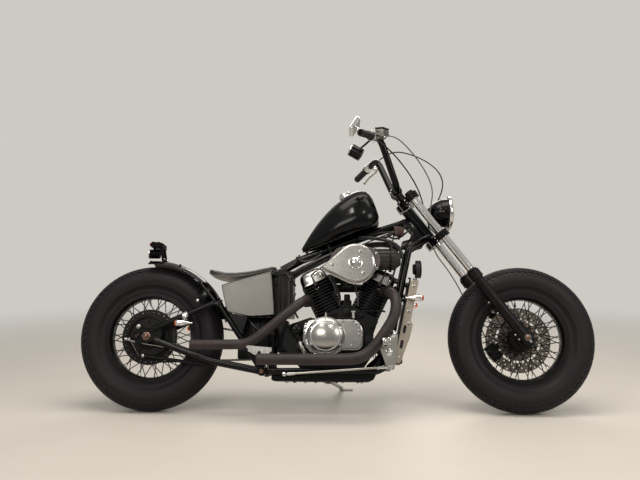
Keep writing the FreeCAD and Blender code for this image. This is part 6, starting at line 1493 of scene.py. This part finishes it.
shape = bmesh.new()
slope = facing((-26, 0, 812), (-0.86, 0, 0.5))
addPart(shape, box((74, 15, 4), 1.6), slope @ at((0, 0, 1.5)))
addPart(shape, spun([(18.5, -2), (18.8, 1), (16, 4), (9, 6), (0, 6.6)], 40), (-36.5, 0, 767), -ahead)
makePiece("tailLens", shape, "red")
makePiece("tailLightStrip", joined((box((70, 24, 2.4), 1), (8, 0, 822), (-0.16, 0, 1))), "glass")
shape = bmesh.new()
addPart(shape, spun([(18.8, -2), (23.4, -2), (23.8, 0), (22, 3), (19.4, 3), (18.8, 1)], 40),
        (-36.5, 0, 767), -ahead)
for side in (-1, 1):
    addPart(shape, hexBolt(9, 5), (30, side * 32.2, 800), left * side)
    addPart(shape, hexBolt(10, 5), (46, side * 29.4, 735), (0.1, side * 0.2, 1))
makePiece("tailLampTrim", shape, "chrome")
print("lamps")


# Mudguard: rolled lips, strut bolts and stay tabs
guard = {"radius": 380, "halfWidth": 78, "crown": 26, "front": 14, "rear": 93}
shape = bmesh.new()
for side in (-1, 1):
    lip = [around(rearAxle, guard["radius"] - guard["crown"] + 0.5,
                  guard["front"] + (guard["rear"] - guard["front"]) * step / 24,
                  side * guard["halfWidth"]) for step in range(25)]
    addPart(shape, cord(lip, 2.6, 4))
for angle in (guard["front"], guard["rear"]):
    lip = [around(rearAxle, guard["radius"] - guard["crown"] * (step / 8) ** 2, angle,
                  guard["halfWidth"] * step / 8) for step in range(-8, 9)]
    addPart(shape, cord(lip, 2.8, 4))
makePiece("mudguardLips", shape, "gloss")
shape = bmesh.new()
for side in (-1, 1):
    spot = around(rearAxle, 354, 48, side * 94)
    addPart(shape, hexBolt(13, 8), spot, left * side)
    addPart(shape, hexBolt(12, 7), (318, side * 122, 518), left * side)
    for angle in (30, 70):
        addPart(shape, domeNut(6.5, 7), around(rearAxle, 375, angle, side * 40), around((0, 0), 1, angle, 0))
makePiece("mudguardBolts", shape, "satin")
shape = bmesh.new()
for side in (-1, 1):
    addPart(shape, domeNut(9, 11), (238, side * 118, 520), left * side)
makePiece("strutNuts", shape, "chrome")
shape = bmesh.new()
for y in (-96, 91):
    tab = plate([(-520, 226), (-578, 262), (-590, 284), (-574, 300), (-512, 262)], 5, 1)
    addPart(shape, tab, (0, y, 0), right, ahead)
makePiece("strutTabs", shape, "gloss")
print("mudguard")


# Radiator: core fins on both faces, side tanks, cap, hoses, and the covers' bolts
radPlan = {"bottom": Vector((1184, 0, 232)), "top": Vector((1268, 0, 618)), "depth": 34, "fins": 62,
           "finSpan": (0.06, 0.88), "fin": (196, 2.2, 3), "boltFace": 130.2}
firstFin, finSpan = radPlan["finSpan"]
radAxis = (radPlan["top"] - radPlan["bottom"]).normalized()
radFace = Vector((radAxis.z, 0, -radAxis.x))
shape = bmesh.new()
for index in range(radPlan["fins"]):
    share = firstFin + finSpan * index / (radPlan["fins"] - 1)
    middle = radPlan["bottom"].lerp(radPlan["top"], share)
    for way in (-1, 1):
        addPart(shape, box(radPlan["fin"]), middle + radFace * (way * (radPlan["depth"] / 2 + 0.6)),
                radFace * way, radAxis)
for share in (0.02, 0.98):
    middle = radPlan["bottom"].lerp(radPlan["top"], share)
    addPart(shape, box((232, 16, 42), 3), middle, radFace, radAxis)
makePiece("radiatorFins", shape, "plastic")
shape = bmesh.new()
capSpot = radPlan["top"] + Vector((-4, -72, 8))
addPart(shape, spun([(16, -8), (16, 2), (22, 3), (23, 6), (22, 9), (14, 12), (0, 13)], 32), capSpot, radAxis)
for side in (-1, 1):
    y = side * radPlan["boltFace"]
    for share, across in ((0.06, 0.0), (0.47, 16.0), (0.93, 2.0), (0.62, 3.0)):
        middle = radPlan["bottom"].lerp(radPlan["top"], share) + ahead * across
        addPart(shape, disc(8.5, 1.6, 20, 0.5), (middle.x, y - side * 0.6, middle.z), left * side)
        addPart(shape, domeNut(6.4, 8), (middle.x, y, middle.z), left * side)
makePiece("radiatorBolts", shape, "zinc")
shape = bmesh.new()
addCords(shape, (
    (13, ((1190, 70, 262), (1166, 78, 262), (1130, 74, 276), (1090, 60, 300), (1070, 52, 330))),
    (13, ((1252, -60, 602), (1222, -62, 606), (1190, -60, 622), (1160, -46, 640), (1136, -30, 650))),
    (7, ((1152, 118, 236), (1140, 122, 262), (1136, 118, 310), (1142, 112, 372)))), 3)
makePiece("coolantHoses", shape, "sheath")
shape = bmesh.new()
for radius in (14, 24, 34):
    addPart(shape, spun([(radius, 0), (radius + 2, 2.4), (radius + 4, 0)], 48), (1312, 0, 692), ahead)
addPart(shape, spun([(42, -2), (45, 0), (45, 4), (42, 6)], 56), (1306, 0, 692), ahead)
addPart(shape, hexBolt(14, 8), (1288, 0, 692), -ahead)
addPart(shape, disc(26, 14, 32, 4), (1288, 0, 692), -ahead)
makePiece("hornRings", shape, "satin")
print("radiator and horn")


# Foot controls: round bolts, the square-ended peg's cap, clevis and rod ends
shape = bmesh.new()
for side in (-1, 1):
    outer = left * side
    for x, z, radius in ((1161, 362, 17), (1143, 278, 15)):
        addPart(shape, disc(radius + 3, 3, 32, 0.8), (x, side * 144, z), outer)
        addPart(shape, spun([(radius, 0), (radius, 6), (radius * 0.9, 9), (radius * 0.6, 12),
                             (radius * 0.3, 13.4), (0, 13.8)], 32), (x, side * 146, z), outer)
    addPart(shape, box((34, 30, 20), 4), (1124, side * 160, 320), outer)
    addPart(shape, box((36, 32, 14), 3.5), (1124, side * 284, 320), outer)
    for y in (190, 270):
        addPart(shape, spun([(15.1, 0), (16.4, 1.4), (16.4, 5), (15.1, 6.4)], 32), (1124, side * y, 320), outer)
    addPart(shape, disc(8, 3.4, 6, 0.6), (1124, side * 291, 320), outer)
addPart(shape, spun([(9, -7), (10.5, -5), (10.5, 5), (9, 7), (0, 7), (0, -7), (9, -7)], 28), (1148, -150, 212),
        right)
addPart(shape, rod((1134, -150, 211), (1092, -150, 207), 7.4, 6.2, 14))
addPart(shape, disc(8.6, 6, 6, 0.6), (1088, -150, 206.6), ahead)
addPart(shape, rod((674, -150, 177), (710, -150, 179.6), 7.4, 6.2, 14))
addPart(shape, disc(9.5, 8, 24, 1.2), (660, -154, 176), right)
makePiece("footControlBolts", shape, "chrome")
pegRibs = [(15.2, 0), (17.4, 2)]
for low in range(6, 47, 8):
    pegRibs += [(17.4, low), (16, low + 1.6), (17.4, low + 3.2)]
pegRibs += [(17.4, 54), (15.2, 56)]
shape = bmesh.new()
for side in (-1, 1):
    addPart(shape, spun(pegRibs, 28), (1124, side * 203, 320), left * side)
makePiece("pegRubbers", shape, "grip")
print("foot controls")


# Side covers' beads, canister straps and belly pan
shape = bmesh.new()
for side in (-1, 1):
    outline = [(355, 590), (588, 655), (606, 452), (488, 446), (386, 468)]
    edge = []
    for index, (x, z) in enumerate(outline):
        nextX, nextZ = outline[(index + 1) % len(outline)]
        for share in (0.04, 0.35, 0.65, 0.96):
            edge.append(Vector((x + (nextX - x) * share, side * 152.2, z + (nextZ - z) * share)))
    addPart(shape, cord(edge, 2.2, 3, closed=True))
makePiece("sideCoverBeads", shape, "brushed")
shape = bmesh.new()
for x in (1084, 1156):
    addPart(shape, spun([(52.2, -5), (53.8, -4), (53.8, 4), (52.2, 5)], 64), (x, -94, 724), ahead)
addPart(shape, box((14, 16, 10), 2), at((1156, -96, 668)))
makePiece("canisterStraps", shape, "satin")
shape = bmesh.new()
panOutline = [(596, 186), (590, 154), (604, 145), (812, 143), (1050, 143), (1074, 154), (1090, 186)]
pan = plate([(-z, x) for x, z in panOutline], 140)
rounded(pan, [line for line in pan.edges if max(vert.co.x for vert in line.verts) < -140], 5, 3)
addPart(shape, pan, (0, 70, 0), right, ahead)
for x in (700, 800, 900, 1000):
    addPart(shape, box((10, 138, 6), 2), at((x, 0, 142)))
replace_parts(makePiece("bellyPanShell", shape, "gloss"), "belly_pan")
shape = bmesh.new()
for index in range(5):
    for y in (-58, 58):
        addPart(shape, socketBolt(5.4, 4), (660 + 90 * index, y, 143), -up)
makePiece("bellyPanBolts", shape, "zinc")
print("covers, straps and pan")


# Head gussets, cradle plates, the loom behind the down tubes, and what closes the frame behind the engine
shape = bmesh.new()
gusset = [(1226, 914), (1268, 926), (1344, 838), (1322, 800), (1268, 784), (1216, 796), (1222, 826), (1258, 838),
          (1270, 868), (1248, 892)]
for y in (-26, 20):
    addPart(shape, plate([(-z, x) for x, z in gusset], 6, 1.2), (0, y, 0), right, ahead)
makePiece("headGussets", shape, "gloss")
shape = bmesh.new()
cradlePlate = [(1034, 196), (1046, 226), (1074, 250), (1104, 282), (1128, 292), (1140, 236), (1122, 196)]
for y in (-52, 46):
    addPart(shape, plate([(-z, x) for x, z in cradlePlate], 6, 1.2), (0, y, 0), right, ahead)
makePiece("cradlePlates", shape, "gloss")
shape = bmesh.new()
addCords(shape, (
    (13, ((1262, 6, 800), (1250, 10, 740), (1232, 10, 660), (1212, 8, 560), (1186, 8, 440))),
    (7, ((1250, -22, 806), (1236, -26, 740), (1214, -26, 640), (1190, -24, 560))),
    (6, ((690, -60, 668), (676, -84, 640), (668, -88, 600), (674, -86, 540), (668, -84, 470))),
    (5, ((640, -70, 672), (662, -88, 650), (684, -86, 620), (700, -60, 600))),
    (6, ((470, -66, 452), (488, -74, 420), (520, -76, 390), (560, -74, 372), (604, -66, 366))),
    (11, ((682, -34, 660), (716, -34, 682), (760, -36, 704), (812, -38, 730), (864, -36, 756), (912, -30, 776))),
    (9, ((682, -26, 640), (712, -28, 662), (748, -30, 682), (800, -34, 706), (852, -34, 734), (896, -28, 754))),
    (15, ((1040, -26, 800), (1080, -30, 810), (1130, -32, 812), (1176, -34, 804), (1206, -30, 784)))))
makePiece("rearLoom", shape, "sheath")
shape = bmesh.new()
addPart(shape, box((186, 92, 148), 14, 3), at((535, 0, 374)))
addPart(shape, box((92, 84, 66), 10, 3), at((470, 0, 280)))
addPart(shape, box((56, 84, 152), 8, 3), at((640, 0, 358)))
for index in range(7):
    addPart(shape, box((5, 104, 112), 1.5), at((470 + index * 20, 0, 372)))
for z in (320, 412):
    addPart(shape, disc(16, 10, 24, 2), (604, -46, z), right)
makePiece("splashShield", shape, "casting")
shape = bmesh.new()
addPart(shape, box((8, 5, 38), 1.5), at((612, -83, 611)))
for x, z in ((640, 640), (640, 480), (676, 560)):
    addPart(shape, hexBolt(10, 5), (x, -80, z), right)
for z in (320, 412):
    addPart(shape, hexBolt(13, 7), (604, -56, z), right)
makePiece("batteryClips", shape, "satin")
shape = bmesh.new()
for x in (630, 652, 674):
    addPart(shape, box((6, 164, 150), 2), at((x, 0, 556)))
addPart(shape, box((100, 166, 12), 3), at((636, 0, 652)))
makePiece("batteryRibs", shape, "casting")
print("gussets and rear details")

low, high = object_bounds()
